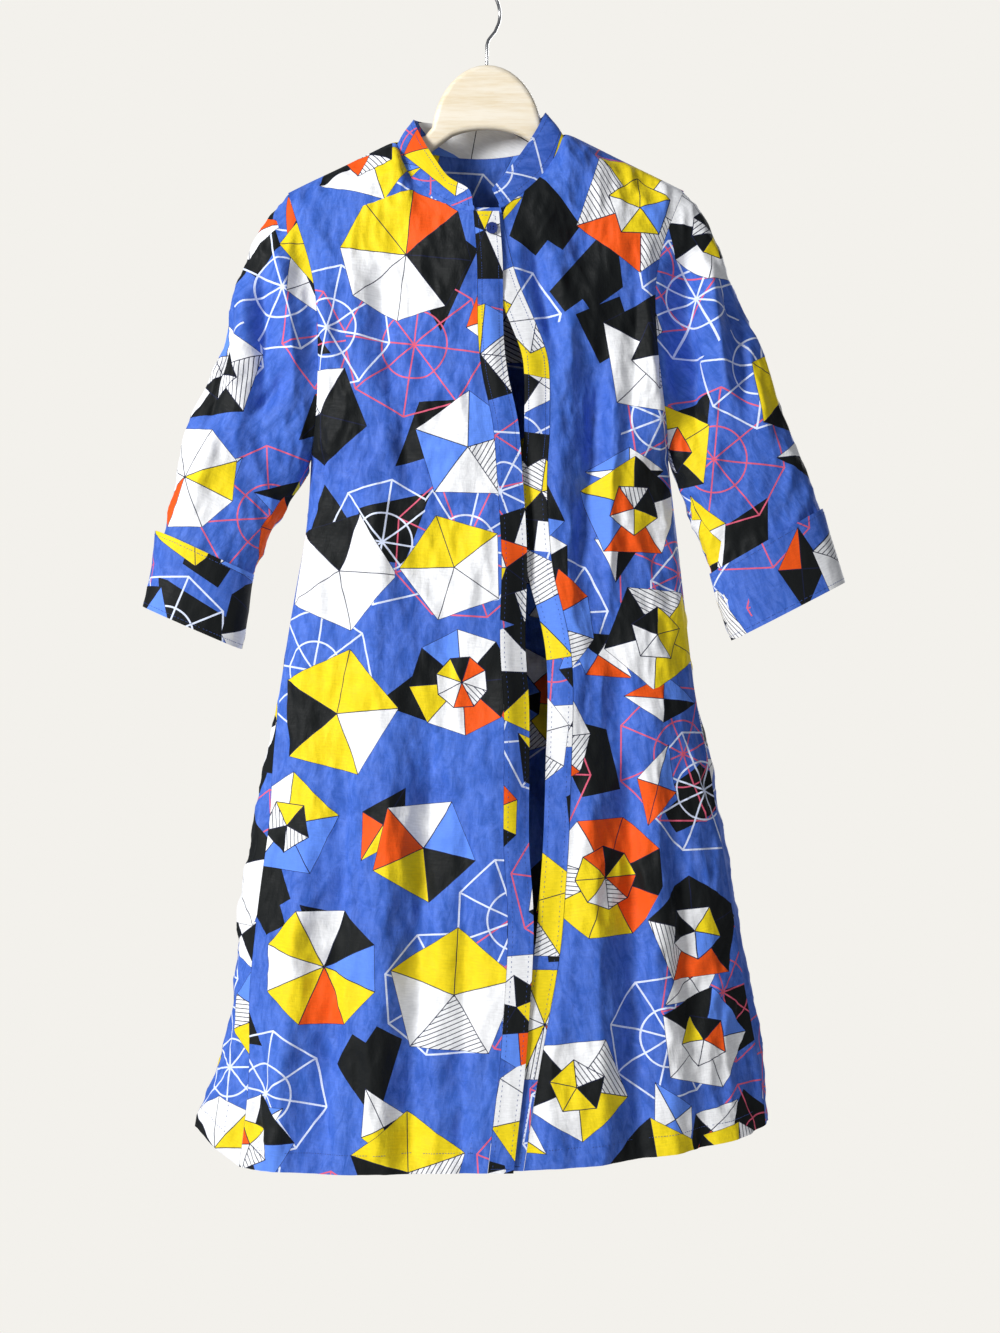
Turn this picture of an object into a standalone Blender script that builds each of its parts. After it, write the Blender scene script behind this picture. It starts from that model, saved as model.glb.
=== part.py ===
"""A wax print shirt dress hanging on a flat wooden hanger.

A-line dress with a stand collar, a banded front opening, set-in three-quarter sleeves and
turned-up cuffs. Each cut piece of cloth is a thin closed wall of its own. The tables and named
sizes are in millimetres, and the meshes in metres. The origin is the inside of the top of the
hook, +Z is up, the front faces -Y, and the wearer's left is at +X.
"""

import math
from collections import namedtuple

import bmesh
import bpy
import numpy as np

MM = 0.001

# Cloth
WALL = 1.3  # one layer of cotton, with its hems and seams
DOUBLE_WALL = 2.2  # collar, bands and cuffs: two layers and an interfacing
PROUD = 0.5  # how far a two-layer piece stands out past the panel it is sewn to
SEAM_GAP = 0.4
RIM_ORDER = (1, 0.37, 0.11)  # two rims that meet are split alike, along this direction
MEETS = -0.25  # pieces share a normal at a seam unless they turn away more than this
BAND_WIDTH = 25

# Levels
UNDERARM = -470
HEM = -1170
HEM_SWING_START = -900  # below this the sides swing out and lift

# How finely the pieces are divided
YOKE_ROWS = 12
SKIRT_ROWS = 18
SHOULDER_COLUMNS = 7
NECK_COLUMNS = 5
BACK_NECK_COLUMNS = 10
NECK_CROWDING = 1.35  # the neck's columns stand closer toward the shoulder, where it turns
BAND_COLUMNS = 2
COLLAR_ROWS = 2

# Section of the body: edges as roundness, a lens at the yoke and fuller at the skirt
YOKE_ROUNDNESS = 1.7
SKIRT_ROUNDNESS = 2.3
SHOULDER_ROLL = 60  # how far below the shoulder the cloth reaches its full depth
ARMHOLE_FRONT_DEPTH = 27
ARMHOLE_BACK_DEPTH = 25
ARMHOLE_SQUARENESS = 0.8
ARMHOLE_REACH = 75  # how far into a panel the armhole's depth carries

LEFT, RIGHT = -1, 1  # as seen from the front: LEFT is the wearer's right

Depth = namedtuple("Depth", "z front back")
DEPTHS = [
    Depth(-1170, 71, 80),
    Depth(-1000, 64, 70),
    Depth(-830, 57, 58),
    Depth(-650, 50, 47),
    Depth(-470, 46, 42),
    Depth(-340, 45, 40),
    Depth(-229, 44, 35),
    Depth(-140, 38, 33),
]

# Half outlines of the skirt, how far in front of them the side seams lie, and how far back the
# outermost cloth hangs
Side = namedtuple("Side", "z left right seam_in_left seam_in_right side_y")
SIDES = [
    Side(-1170, -294, 284, 50, 6, 8),
    Side(-1120, -280, 281, 42, 7, 7),
    Side(-1070, -266, 274, 32, 8, 6),
    Side(-1010, -258, 265, 22, 8, 5),
    Side(-950, -252, 257, 21, 8, 4),
    Side(-890, -246, 247, 22, 7, 3),
    Side(-830, -235, 236, 20, 6, 2),
    Side(-770, -222, 225, 9, 4, 1),
    Side(-710, -211, 210, 4, 2, 0),
    Side(-650, -201, 202, 2, 1, 0),
    Side(-590, -190, 195, 1, 0.5, 0),
    Side(-530, -179, 188, 0.3, 0.2, 0),
    Side(-470, -176, 181, 0, 0, 0),
]

# Lift of the hem, by place across the skirt from -1 at its left to 1 at its right
Lift = namedtuple("Lift", "across front back")
LIFTS = [
    Lift(-1.0, 37, 37),
    Lift(-0.93, 23, 26),
    Lift(-0.84, 2, 15),
    Lift(-0.6, 0, 5),
    Lift(0.0, 3, 0),
    Lift(0.3, 8, 2),
    Lift(0.5, 13, 6),
    Lift(0.7, 20, 13),
    Lift(0.85, 27, 23),
    Lift(0.95, 34, 33),
    Lift(1.0, 40, 40),
]

# Free edges of the two bands, and how far each is pushed forward of the body's section
Edge = namedtuple("Edge", "z upper upper_out under under_out")
EDGES = [
    Edge(-1170, 26, 4.2, 11, 0.6),
    Edge(-1109, 33, 4.2, 20, 0.6),
    Edge(-1068, 38, 4.2, 27, 0.6),
    Edge(-1007, 42, 4.4, 38, 0.4),
    Edge(-940, 46, 4.6, 49, -1.5),
    Edge(-889, 45, 5.2, 52, -2.5),
    Edge(-855, 41, 5.8, 55, -3),
    Edge(-767, 42, 6.5, 58, -4),
    Edge(-709, 42, 6.5, 60, -4),
    Edge(-650, 37, 6, 58, -3),
    Edge(-590, 40, 5, 40, -1),
    Edge(-541, 39, 4.4, 36, 0.2),
    Edge(-492, 35, 4.4, 33, 0.2),
    Edge(-443, 32, 5, 37, -1),
    Edge(-380, 19, 5.6, 37, -2.5),
    Edge(-340, 16, 5, 24, -1),
    Edge(-291, 16, 4.2, 3, 0.6),
    Edge(-229, 12, 4, -11, 0.6),
]
LAP_FADE = 85  # the push fades out over this width of the front

# Armhole seam, by way down from the shoulder tip to the underarm
Armhole = namedtuple("Armhole", "down left_front left_back right_front right_back")
ARMHOLES = [
    Armhole(0.0, -199, -199, 197, 197),
    Armhole(0.14, -187, -190, 181, 185),
    Armhole(0.36, -170, -176, 166, 173),
    Armhole(0.55, -167, -172, 168, 172),
    Armhole(0.77, -168, -171, 175, 176),
    Armhole(0.89, -171, -173, 179, 180),
    Armhole(1.0, -176, -176, 181, 181),
]

# Top edges, from the shoulder tip to the side of the neck and down to the opening
Point = namedtuple("Point", "x y z")
SHOULDERS = {
    LEFT: [
        Point(-199, 0, -202),
        Point(-178, 0, -191.5),
        Point(-146, 0, -176.5),
        Point(-112, -2, -160),
        Point(-90, -6, -150),
    ],
    RIGHT: [
        Point(197, 0, -200),
        Point(174, 0, -188.5),
        Point(136, 0, -170),
        Point(100, -2, -152.5),
        Point(77, -6, -142),
    ],
}
FRONT_NECKS = {
    LEFT: [
        Point(-90, -6, -150),
        Point(-84, -17, -175),
        Point(-65, -31, -204),
        Point(-40, -42, -222),
        Point(-13, -48, -229),
    ],
    RIGHT: [
        Point(77, -6, -142),
        Point(71, -14, -162),
        Point(56, -25, -187),
        Point(34, -37, -209),
        Point(14, -44.4, -225),
    ],
}
BACK_NECK = [
    Point(-90, -6, -150),
    Point(-87, 8, -151),
    Point(-74, 20, -154),
    Point(-40, 29, -159),
    Point(-6, 31, -161),
    Point(28, 29, -158),
    Point(60, 21, -150),
    Point(74, 8, -143.5),
    Point(77, -6, -142),
]

# Stand of the collar at places along it, from the upper band round the neck to the under band
Stand = namedtuple("Stand", "along lean_x lean_y rise")
STANDS = [
    Stand(0.0, -3, 8, 25),
    Stand(0.07, 6, 8, 24),
    Stand(0.14, 16, 6, 28),
    Stand(0.21, 19, 4, 26),
    Stand(0.283, 16, 3, 22),
    Stand(0.35, 9, -3, 26),
    Stand(0.43, 4, -4, 30),
    Stand(0.51, 0, -4, 31),
    Stand(0.59, -3, -4, 30),
    Stand(0.67, -9, -3, 24),
    Stand(0.734, -18, 2, 21),
    Stand(0.8, -19, 4, 26),
    Stand(0.867, -17, 5, 28),
    Stand(0.933, -13, 6, 24),
    Stand(1.0, -9, 6, 19.5),
]

# Outer and inner edges of the sleeves, ring by ring from the armhole to the turned edge
Ring = namedtuple("Ring", "outer_x outer_z inner_x inner_z front back")
SLEEVES = {
    LEFT: [
        Ring(-199, -202, -176, -470, 27, 25),
        Ring(-213, -216, -179.5, -478, 28, 26),
        Ring(-225, -235, -184, -489, 29, 27),
        Ring(-237, -264, -191, -503, 29, 27),
        Ring(-251, -303, -198, -518, 28, 27),
        Ring(-267, -348, -207, -534, 27, 26),
        Ring(-283, -394, -217, -549, 26, 25),
        Ring(-301, -443, -226, -563, 26, 25),
        Ring(-317, -492, -232, -574, 26, 24),
        Ring(-322.5, -541, -236, -583, 26, 24),
        Ring(-327, -566, -239, -604, 26, 25),
        Ring(-333.5, -591, -242, -630, 27, 26),
        Ring(-341, -615, -246, -657, 28, 27),
    ],
    RIGHT: [
        Ring(197, -200, 181, -470, 27, 25),
        Ring(209, -213, 185.5, -478, 28, 26),
        Ring(219, -231, 190, -489, 29, 27),
        Ring(231, -259, 195, -503, 29, 27),
        Ring(245, -294, 200, -517, 28, 27),
        Ring(260, -330, 205, -531, 27, 26),
        Ring(275, -368, 210, -545, 26, 25),
        Ring(293, -416, 215, -558, 26, 25),
        Ring(313, -466, 219, -571, 26, 24),
        Ring(331, -519, 223, -583, 26, 24),
        Ring(338.5, -543, 228, -601, 27, 25),
        Ring(346.5, -567, 236, -625, 28, 26),
        Ring(355, -591, 245, -648, 29, 27),
    ],
}
SLEEVE_FORWARD = 7  # the cuff hangs this far in front of the shoulder
CAP_RINGS = 5  # rings over which the sleeve loses the armhole's scoop
CUFF_FIRST_RING = 9
CUFF_GAP = 0.4  # between the sleeve and the cuff turned up over it
CUFF_DROP = 1.0  # the cuff's fold hides the sleeve's own edge
CUFF_FLARES = {LEFT: 7, RIGHT: 2}  # the turned-up edge stands off the outer side

# Soft folds. Each runs from its top to its bottom, and out is how far it stands out, or in
Fold = namedtuple("Fold", "top_x top_z bottom_x bottom_z half_width out")
FRONT_FOLDS = [
    Fold(-96, -250, -132, -1170, 40, 5),
    Fold(-52, -600, -62, -1170, 30, -4.5),
    Fold(-150, -560, -186, -1170, 34, -4),
    Fold(-172, -820, -214, -1170, 26, 5),
    Fold(62, -340, 96, -800, 30, 4.5),
    Fold(108, -300, 150, -1170, 32, -4.5),
    Fold(150, -560, 196, -1170, 34, 5.5),
    Fold(84, -720, 92, -1170, 30, 5),
    Fold(208, -800, 242, -1170, 24, -4),
]
BACK_FOLDS = [
    Fold(-4, -260, 8, -1170, 52, 6),
    Fold(-92, -320, -118, -1170, 42, -5),
    Fold(-128, -640, -176, -1170, 36, 6),
    Fold(-196, -760, -236, -1170, 30, -5),
    Fold(88, -300, 112, -1170, 42, -5),
    Fold(136, -560, 172, -1170, 36, 6),
    Fold(196, -800, 228, -1170, 28, -5),
]
FOLD_START = 160  # length over which a fold grows
SEAM_HOLLOW = 6  # the side seams are drawn in toward the hem
SEAM_HOLLOW_WIDTH = 34

# Hollows of the sleeves beside the armhole, by ring and by way down the ring's front or back
Dent = namedtuple("Dent", "ring spread down reach depth")
DENTS = {
    LEFT: [Dent(1.8, 1.6, 0.45, 0.4, 6), Dent(6.5, 2.2, 0.75, 0.3, -4)],
    RIGHT: [Dent(1.6, 1.6, 0.5, 0.42, 8), Dent(5.5, 2.2, 0.7, 0.3, -5)],
}

# Button
BUTTON_DIAMETER = 11.5
BUTTON_THICKNESS = 2.4
BUTTON_BEVEL = 0.7
BUTTON_X = 5.2
BUTTON_Z = -246
BUTTON_CLEARANCE = 0.45

# Hanger
HANGER_THICKNESS = 11
HANGER_BEVEL = 5
HANGER_TIP = 173
HANGER_BELOW_CLOTH = 3.4  # from the shoulder line down to the wood
HANGER_BELOW_NECK = 4.0  # and this much more beside the neck
DOME_TOP = -74
DOME_HALF_WIDTH = 56
DOME_BASE = -150
UNDERSIDE_TOP = -139
ARM_DEPTH = 27
ARM_TIP_DEPTH = 19

# Hook
WIRE = 3.4
HOOK_RADIUS = 21
HOOK_SWIVEL = math.radians(52)
SHANK_TOP = -54

BLUE = (0.045, 0.115, 0.61)
NAVY = (0.012, 0.02, 0.12)
BIRCH = (0.86, 0.72, 0.5)
STEEL = (0.6, 0.6, 0.6)


def ease(t):
    t = min(max(t, 0.0), 1.0)
    return t * t * (3 - 2 * t)


def bump(t):
    """1 at the middle, falling softly to 0 at -1 and 1."""
    return math.cos(math.pi / 2 * t) ** 2 if abs(t) < 1 else 0.0


def smooth_between(keys, values):
    """A function that runs smoothly through the values at the rising keys."""
    keys, values = np.array(keys, float), np.array(values, float)
    steps = np.diff(keys).reshape(-1, *[1] * (values.ndim - 1))
    rates = np.diff(values, axis=0) / steps
    before, after = rates[:-1], rates[1:]
    same_way = before * after > 0
    mean = 2 * before * after / np.where(same_way, before + after, 1)
    slopes = np.concatenate([rates[:1], np.where(same_way, mean, 0), rates[-1:]])

    def at(key):
        key = min(max(key, keys[0]), keys[-1])
        i = min(int(np.searchsorted(keys, key, side="right")) - 1, len(keys) - 2)
        step = keys[i + 1] - keys[i]
        t = (key - keys[i]) / step
        start = values[i] * (1 - ease(t)) + slopes[i] * step * t * (1 - t) ** 2
        end = values[i + 1] * ease(t) - slopes[i + 1] * step * t * t * (1 - t)
        return start + end

    return at


def column(table, name):
    return smooth_between([row[0] for row in table], [getattr(row, name) for row in table])


def path(points):
    """A smooth way through the points, by the share of their length from 0 to 1."""
    points = np.array(points, float)
    lengths = np.linalg.norm(np.diff(points, axis=0), axis=1)
    keys = np.concatenate([[0], np.cumsum(lengths)]) / lengths.sum()
    return smooth_between(keys, points)


front_depth = column(DEPTHS, "front")
back_depth = column(DEPTHS, "back")
outline = {LEFT: column(SIDES, "left"), RIGHT: column(SIDES, "right")}
seam_in = {LEFT: column(SIDES, "seam_in_left"), RIGHT: column(SIDES, "seam_in_right")}
side_y = column(SIDES, "side_y")
front_lift = column(LIFTS, "front")
back_lift = column(LIFTS, "back")
free_edge = {LEFT: column(EDGES, "upper"), RIGHT: column(EDGES, "under")}
pushed_out = {LEFT: column(EDGES, "upper_out"), RIGHT: column(EDGES, "under_out")}
armhole_x = {
    (LEFT, True): column(ARMHOLES, "left_front"),
    (LEFT, False): column(ARMHOLES, "left_back"),
    (RIGHT, True): column(ARMHOLES, "right_front"),
    (RIGHT, False): column(ARMHOLES, "right_back"),
}
shoulder = {side: path(SHOULDERS[side]) for side in SHOULDERS}
front_neck = {side: path(FRONT_NECKS[side]) for side in FRONT_NECKS}
back_neck = path(BACK_NECK)
stand = {name: column(STANDS, name) for name in Stand._fields[1:]}


# The body's section at each row


def armhole_point(side, front, row):
    """Seam point at a yoke row: the rows are evenly spaced round the armhole's flattened ring."""
    turn = math.pi * row / YOKE_ROWS
    down = (1 - math.cos(turn)) / 2
    tip = SHOULDERS[side][0].z
    depth = -ARMHOLE_FRONT_DEPTH if front else ARMHOLE_BACK_DEPTH
    y = depth * max(math.sin(turn), 0.0) ** ARMHOLE_SQUARENESS
    return np.array([armhole_x[side, front](down), y, tip + (UNDERARM - tip) * down])


def skirt_level(row):
    return UNDERARM + (HEM - UNDERARM) * (row - YOKE_ROWS) / SKIRT_ROWS


def section_ends(row, front):
    """The two ends of the body's section, as (x, y), and how round it is."""
    if row >= YOKE_ROWS:
        level = skirt_level(row)
        ends = [(outline[side](level), side_y(level)) for side in (LEFT, RIGHT)]
        return *ends, SKIRT_ROUNDNESS
    ends = [tuple(armhole_point(side, front, row)[:2]) for side in (LEFT, RIGHT)]
    return *ends, YOKE_ROUNDNESS + (SKIRT_ROUNDNESS - YOKE_ROUNDNESS) * ease(row / YOKE_ROWS)


def section_y(row, front, x, level):
    """How far forward or back the section is at x, without folds."""
    left, right, roundness = section_ends(row, front)
    middle = (left[0] + right[0]) / 2
    end = left if x < middle else right
    inward = min(max((x - end[0]) / (middle - end[0]), 0.0), 1.0)
    arch = (1 - (1 - inward) ** roundness) ** (1 / roundness)
    depth = -front_depth(level) if front else back_depth(level)
    if row >= YOKE_ROWS:
        return end[1] + (depth - end[1]) * arch
    return depth * arch + end[1] * max(1 - abs(x - end[0]) / ARMHOLE_REACH, 0) ** 2


def fold_height(front, x, level):
    """How far the cloth stands out at x and level, from its folds."""
    height = 0.0
    for fold in FRONT_FOLDS if front else BACK_FOLDS:
        along = (level - fold.top_z) / (fold.bottom_z - fold.top_z)
        if along <= 0:
            continue
        line = fold.top_x + (fold.bottom_x - fold.top_x) * along
        grown = ease((fold.top_z - level) / FOLD_START)
        if fold.bottom_z > HEM:
            grown *= ease((1 - along) * 3)
        height += fold.out * grown * bump((x - line) / fold.half_width)
    return height


def seam_hollow(side, x, level):
    grown = ease((-600 - level) / 400)
    line = outline[side](level) - side * seam_in[side](level)
    return SEAM_HOLLOW * grown * bump((x - line) / SEAM_HOLLOW_WIDTH)


def lifted(row, front, x):
    """How far the swing of the skirt lifts the cloth at x."""
    level = skirt_level(row)
    left, right, _ = section_ends(row, front)
    across = (2 * x - left[0] - right[0]) / (right[0] - left[0])
    lift = front_lift(across) if front else back_lift(across)
    return lift * ease((HEM_SWING_START - level) / (HEM_SWING_START - HEM))


def folded_y(row, front, x, level, lap_side=None):
    """The section with its folds and, on a front, the push toward its free edge."""
    y = section_y(row, front, x, level)
    out = fold_height(front, x, level)
    if row < YOKE_ROWS:
        left, right, _ = section_ends(row, front)
        out *= ease(min(x - left[0], right[0] - x) / 50)
    if front:
        out -= seam_hollow(LEFT, x, level) + seam_hollow(RIGHT, x, level)
    if lap_side:
        away = abs(x - free_edge[lap_side](level))
        out += pushed_out[lap_side](level) * (1 - ease((away - BAND_WIDTH) / LAP_FADE))
    return y - out if front else y + out


# Panels: grids of points, rows from the top down, columns from left to right


def down_share(row, inward):
    """How far down a yoke row is: as the armhole's at the side, more even toward the middle."""
    at_armhole = (1 - math.cos(math.pi * row / YOKE_ROWS)) / 2
    return at_armhole + (row / YOKE_ROWS - at_armhole) * 0.8 * inward**2


def roll(drop):
    """How far the cloth has rolled over the shoulder to its full depth, from 0 to 1."""
    return math.sqrt(1 - (1 - min(drop / SHOULDER_ROLL, 1)) ** 2)


def turned(side, x, row):
    """The angle round the skirt's section, from its side, where the section is at x."""
    left, right, roundness = section_ends(row, True)
    across = (2 * x - left[0] - right[0]) / (right[0] - left[0]) * side
    return math.acos(math.copysign(min(abs(across), 1.0) ** (roundness / 2), across))


def x_at(side, angle, row):
    left, right, roundness = section_ends(row, True)
    across = math.copysign(abs(math.cos(angle)) ** (2 / roundness), math.cos(angle))
    return (left[0] + right[0] + side * across * (right[0] - left[0])) / 2


def seam_angle(side, row):
    level = skirt_level(row)
    return turned(side, outline[side](level) - side * seam_in[side](level), row)


def panel_edge(side, level):
    """Where a front panel ends and its band begins."""
    return free_edge[side](level) + side * BAND_WIDTH


def neck_point(side, share):
    return front_neck[side](share**NECK_CROWDING)


def front_top(side, share):
    """The top edge of a front, from the shoulder tip to the opening."""
    at_neck = SHOULDER_COLUMNS / (SHOULDER_COLUMNS + NECK_COLUMNS)
    if share <= at_neck:
        return shoulder[side](share / at_neck)
    return neck_point(side, (share - at_neck) / (1 - at_neck))


def front_skirt_x(side, share, row):
    start = seam_angle(side, row)
    end = turned(side, panel_edge(side, skirt_level(row)), row)
    spread = share + 0.25 * math.sin(math.pi * share) / math.pi
    return x_at(side, start + (end - start) * spread, row)


def front_point(side, share, row):
    """A point of a front: share runs from its side to its opening edge."""
    if row >= YOKE_ROWS:
        x, level = front_skirt_x(side, share, row), skirt_level(row)
        return x, folded_y(row, True, x, level, side), level + lifted(row, True, x)
    tip, top, end = front_top(side, 0), front_top(side, share), front_top(side, 1)
    seam = armhole_point(side, True, row)
    z = top[2] + (UNDERARM - top[2]) * down_share(row, share)
    edge_z = end[2] + (UNDERARM - end[2]) * down_share(row, 1)
    top_share = (top[0] - tip[0]) / (end[0] - tip[0])
    low_side, low_end = (front_skirt_x(side, place, YOKE_ROWS) for place in (0, 1))
    low_share = (front_skirt_x(side, share, YOKE_ROWS) - low_side) / (low_end - low_side)
    across = top_share + (low_share - top_share) * ease(row / YOKE_ROWS)
    edge_x = panel_edge(side, edge_z) if row else end[0]
    x = seam[0] + (edge_x - seam[0]) * across
    y = folded_y(row, True, x, z, side)
    if share > 0:
        y += (top[1] - folded_y(0, True, top[0], top[2], side)) * (1 - roll(top[2] - z))
    return x, y, z


def front_panel(side):
    count = SHOULDER_COLUMNS + NECK_COLUMNS
    shares = [i / count for i in range(count + 1)][::-side]
    rows = range(YOKE_ROWS + SKIRT_ROWS + 1)
    return np.array([[front_point(side, share, row) for share in shares] for row in rows])


def band_strip(side):
    """The band goes on from the panel's edge, level, to the free edge."""
    rows = []
    for row in range(YOKE_ROWS + SKIRT_ROWS + 1):
        start = np.array(front_point(side, 1, row))
        points = []
        for i in range(BAND_COLUMNS + 1):
            point = start - [side * BAND_WIDTH * i / BAND_COLUMNS, 0, 0]
            level = skirt_level(row) if row >= YOKE_ROWS else start[2]
            shift = folded_y(row, True, point[0], level, side)
            shift -= folded_y(row, True, start[0], level, side)
            point[1] += shift
            points.append(point)
        rows.append(points[::-side])
    return np.array(rows)


def back_top(share):
    """The back's top edge: shoulder, neck and shoulder, from left to right."""
    at_neck = SHOULDER_COLUMNS / (2 * SHOULDER_COLUMNS + BACK_NECK_COLUMNS)
    if share <= at_neck:
        return shoulder[LEFT](share / at_neck)
    if share >= 1 - at_neck:
        return shoulder[RIGHT]((1 - share) / at_neck)
    return back_neck((share - at_neck) / (1 - 2 * at_neck))


def back_skirt_place(share, row):
    """x, and whether the point is still on the front face, outside the side seam."""
    start, end = -seam_angle(LEFT, row), math.pi + seam_angle(RIGHT, row)
    spread = share + 0.25 * math.sin(2 * math.pi * share) / (2 * math.pi)
    angle = start + (end - start) * spread
    return x_at(LEFT, angle, row), angle < 0 or angle > math.pi


def back_point(share, row):
    if row >= YOKE_ROWS:
        (x, front), level = back_skirt_place(share, row), skirt_level(row)
        return x, folded_y(row, front, x, level), level + lifted(row, front, x)
    top = back_top(share)
    seams = [armhole_point(side, False, row) for side in (LEFT, RIGHT)]
    inward = 1 - abs(2 * share - 1)
    z = top[2] + (UNDERARM - top[2]) * down_share(row, inward)
    top_share = (top[0] - back_top(0)[0]) / (back_top(1)[0] - back_top(0)[0])
    low = [back_skirt_place(place, YOKE_ROWS)[0] for place in (0, share, 1)]
    low_share = (low[1] - low[0]) / (low[2] - low[0])
    across = top_share + (low_share - top_share) * ease(row / YOKE_ROWS)
    x = seams[0][0] + (seams[1][0] - seams[0][0]) * across
    y = folded_y(row, False, x, z)
    if 0 < share < 1:
        y += (top[1] - folded_y(0, False, top[0], top[2])) * (1 - roll(top[2] - z))
    return x, y, z


def back_panel():
    count = 2 * SHOULDER_COLUMNS + BACK_NECK_COLUMNS
    rows = range(YOKE_ROWS + SKIRT_ROWS + 1)
    return np.array([[back_point(i / count, row) for i in range(count + 1)] for row in rows])


def collar_strip():
    """Up from the neckline of the right front, the back and the left front."""
    left = [neck_point(LEFT, 1 - i / NECK_COLUMNS) for i in range(NECK_COLUMNS)]
    back = [back_neck(i / BACK_NECK_COLUMNS) for i in range(BACK_NECK_COLUMNS)]
    right = [neck_point(RIGHT, i / NECK_COLUMNS) for i in range(NECK_COLUMNS + 1)]
    base = np.array(left + back + right)
    steps = np.linalg.norm(np.diff(base, axis=0), axis=1)
    places = np.concatenate([[0], np.cumsum(steps)]) / steps.sum()
    rows = []
    for row in range(COLLAR_ROWS, -1, -1):
        up = row / COLLAR_ROWS
        points = []
        for along, point in zip(places, base):
            lean = [stand["lean_x"](along), stand["lean_y"](along)]
            rise = stand["rise"](along)
            points.append(point + [lean[0] * up**1.3, lean[1] * up**1.3, rise * up])
        rows.append(points)
    return np.array(rows)


def ring_turns():
    """Angles round a sleeve, down its front from the top and up its back."""
    front = [(True, row) for row in range(YOKE_ROWS + 1)]
    return front + [(False, row) for row in range(YOKE_ROWS - 1, 0, -1)]


def sleeve_point(side, ring, front, row):
    size = SLEEVES[side][ring]
    first = SLEEVES[side][0]
    turn = math.pi * row / YOKE_ROWS
    down = (1 - math.cos(turn)) / 2
    depth = -size.front if front else size.back
    depth_share = max(math.sin(turn), 0.0) ** ARMHOLE_SQUARENESS
    out = 0.0
    for dent in DENTS[side]:
        near = bump((ring - dent.ring) / dent.spread) if ring else 0.0
        out -= dent.depth * near * bump((down - dent.down) / dent.reach)
    forward = SLEEVE_FORWARD * ease(ring / (len(SLEEVES[side]) - 1))
    x = size.outer_x + (size.inner_x - size.outer_x) * down
    z = size.outer_z + (size.inner_z - size.outer_z) * down
    y = depth * depth_share - forward + (-out if front else out)
    scoop = armhole_point(side, front, row)[0]
    scoop -= first.outer_x + (first.inner_x - first.outer_x) * down
    x += scoop * max(1 - ring / CAP_RINGS, 0) ** 1.5
    return x, y, z


def sleeve_tube(side):
    rings = range(len(SLEEVES[side]))
    return np.array([[sleeve_point(side, ring, *turn) for turn in ring_turns()] for ring in rings])


def cuff_tube(side, sleeve, normals):
    """The sleeve's last rings, moved out by its wall, with the upper edge standing off."""
    rings = sleeve[CUFF_FIRST_RING:].copy()
    away = normals[CUFF_FIRST_RING:]
    for i, ring in enumerate(rings):
        up = 1 - i / (len(rings) - 1)
        for j, (_, row) in enumerate(ring_turns()):
            outer_side = (1 + math.cos(math.pi * row / YOKE_ROWS)) / 2
            flare = CUFF_FLARES[side] * up * (0.25 + 0.75 * outer_side)
            ring[j] += away[i][j] * (CUFF_GAP + DOUBLE_WALL + flare)
    step = rings[-1] - rings[-2]
    rings[-1] += step / np.linalg.norm(step, axis=1, keepdims=True) * CUFF_DROP
    return rings


# Walls


class Piece:
    """A piece of cloth: the grid of its outer face, its seams, and how thick it is."""

    def __init__(self, name, points, outside, seams="", tube=False, thickness=WALL, proud=0.0):
        self.name, self.points, self.tube = name, points, tube
        self.seams, self.thickness, self.proud = seams.split(), thickness, proud
        self.outside = outside
        self.normals = self.own_normals()

    def own_normals(self):
        points = self.points
        if self.tube:
            wide = np.concatenate([points[:, -1:], points, points[:, :1]], axis=1)
            across = wide[:, 2:] - wide[:, :-2]
        else:
            across = np.gradient(points, axis=1)
        normals = self.outside * np.cross(np.gradient(points, axis=0), across)
        return normals / np.linalg.norm(normals, axis=2, keepdims=True)

    def seam_places(self):
        """Each seam point's row and column, and those of its neighbour inside the piece."""
        last_row, last_column = self.points.shape[0] - 1, self.points.shape[1] - 1
        edges = {
            "top": [(0, c, 1, c) for c in range(last_column + 1)],
            "bottom": [(last_row, c, last_row - 1, c) for c in range(last_column + 1)],
            "left": [(r, 0, r, 1) for r in range(last_row + 1)],
            "right": [(r, last_column, r, last_column - 1) for r in range(last_row + 1)],
        }
        return [place for seam in self.seams for place in edges[seam]]


def sew(pieces):
    """Gives pieces that meet at a seam one normal there, then draws each back by half a gap."""
    shared = {}
    for piece in pieces:
        for row, col, _, _ in piece.seam_places():
            key = tuple(np.round(piece.points[row, col], 1))
            shared.setdefault(key, []).append(piece.normals[row, col].copy())
    for piece in pieces:
        moves = []
        for row, col, inner_row, inner_col in piece.seam_places():
            own = piece.normals[row, col].copy()
            met = shared[tuple(np.round(piece.points[row, col], 1))]
            mean = sum(normal for normal in met if normal @ own > MEETS)
            inward = piece.points[inner_row, inner_col] - piece.points[row, col]
            inward *= SEAM_GAP / 2 / np.linalg.norm(inward)
            moves.append((row, col, mean / np.linalg.norm(mean), inward))
        for row, col, normal, inward in moves:
            piece.normals[row, col] = normal
            piece.points[row, col] += inward


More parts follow.
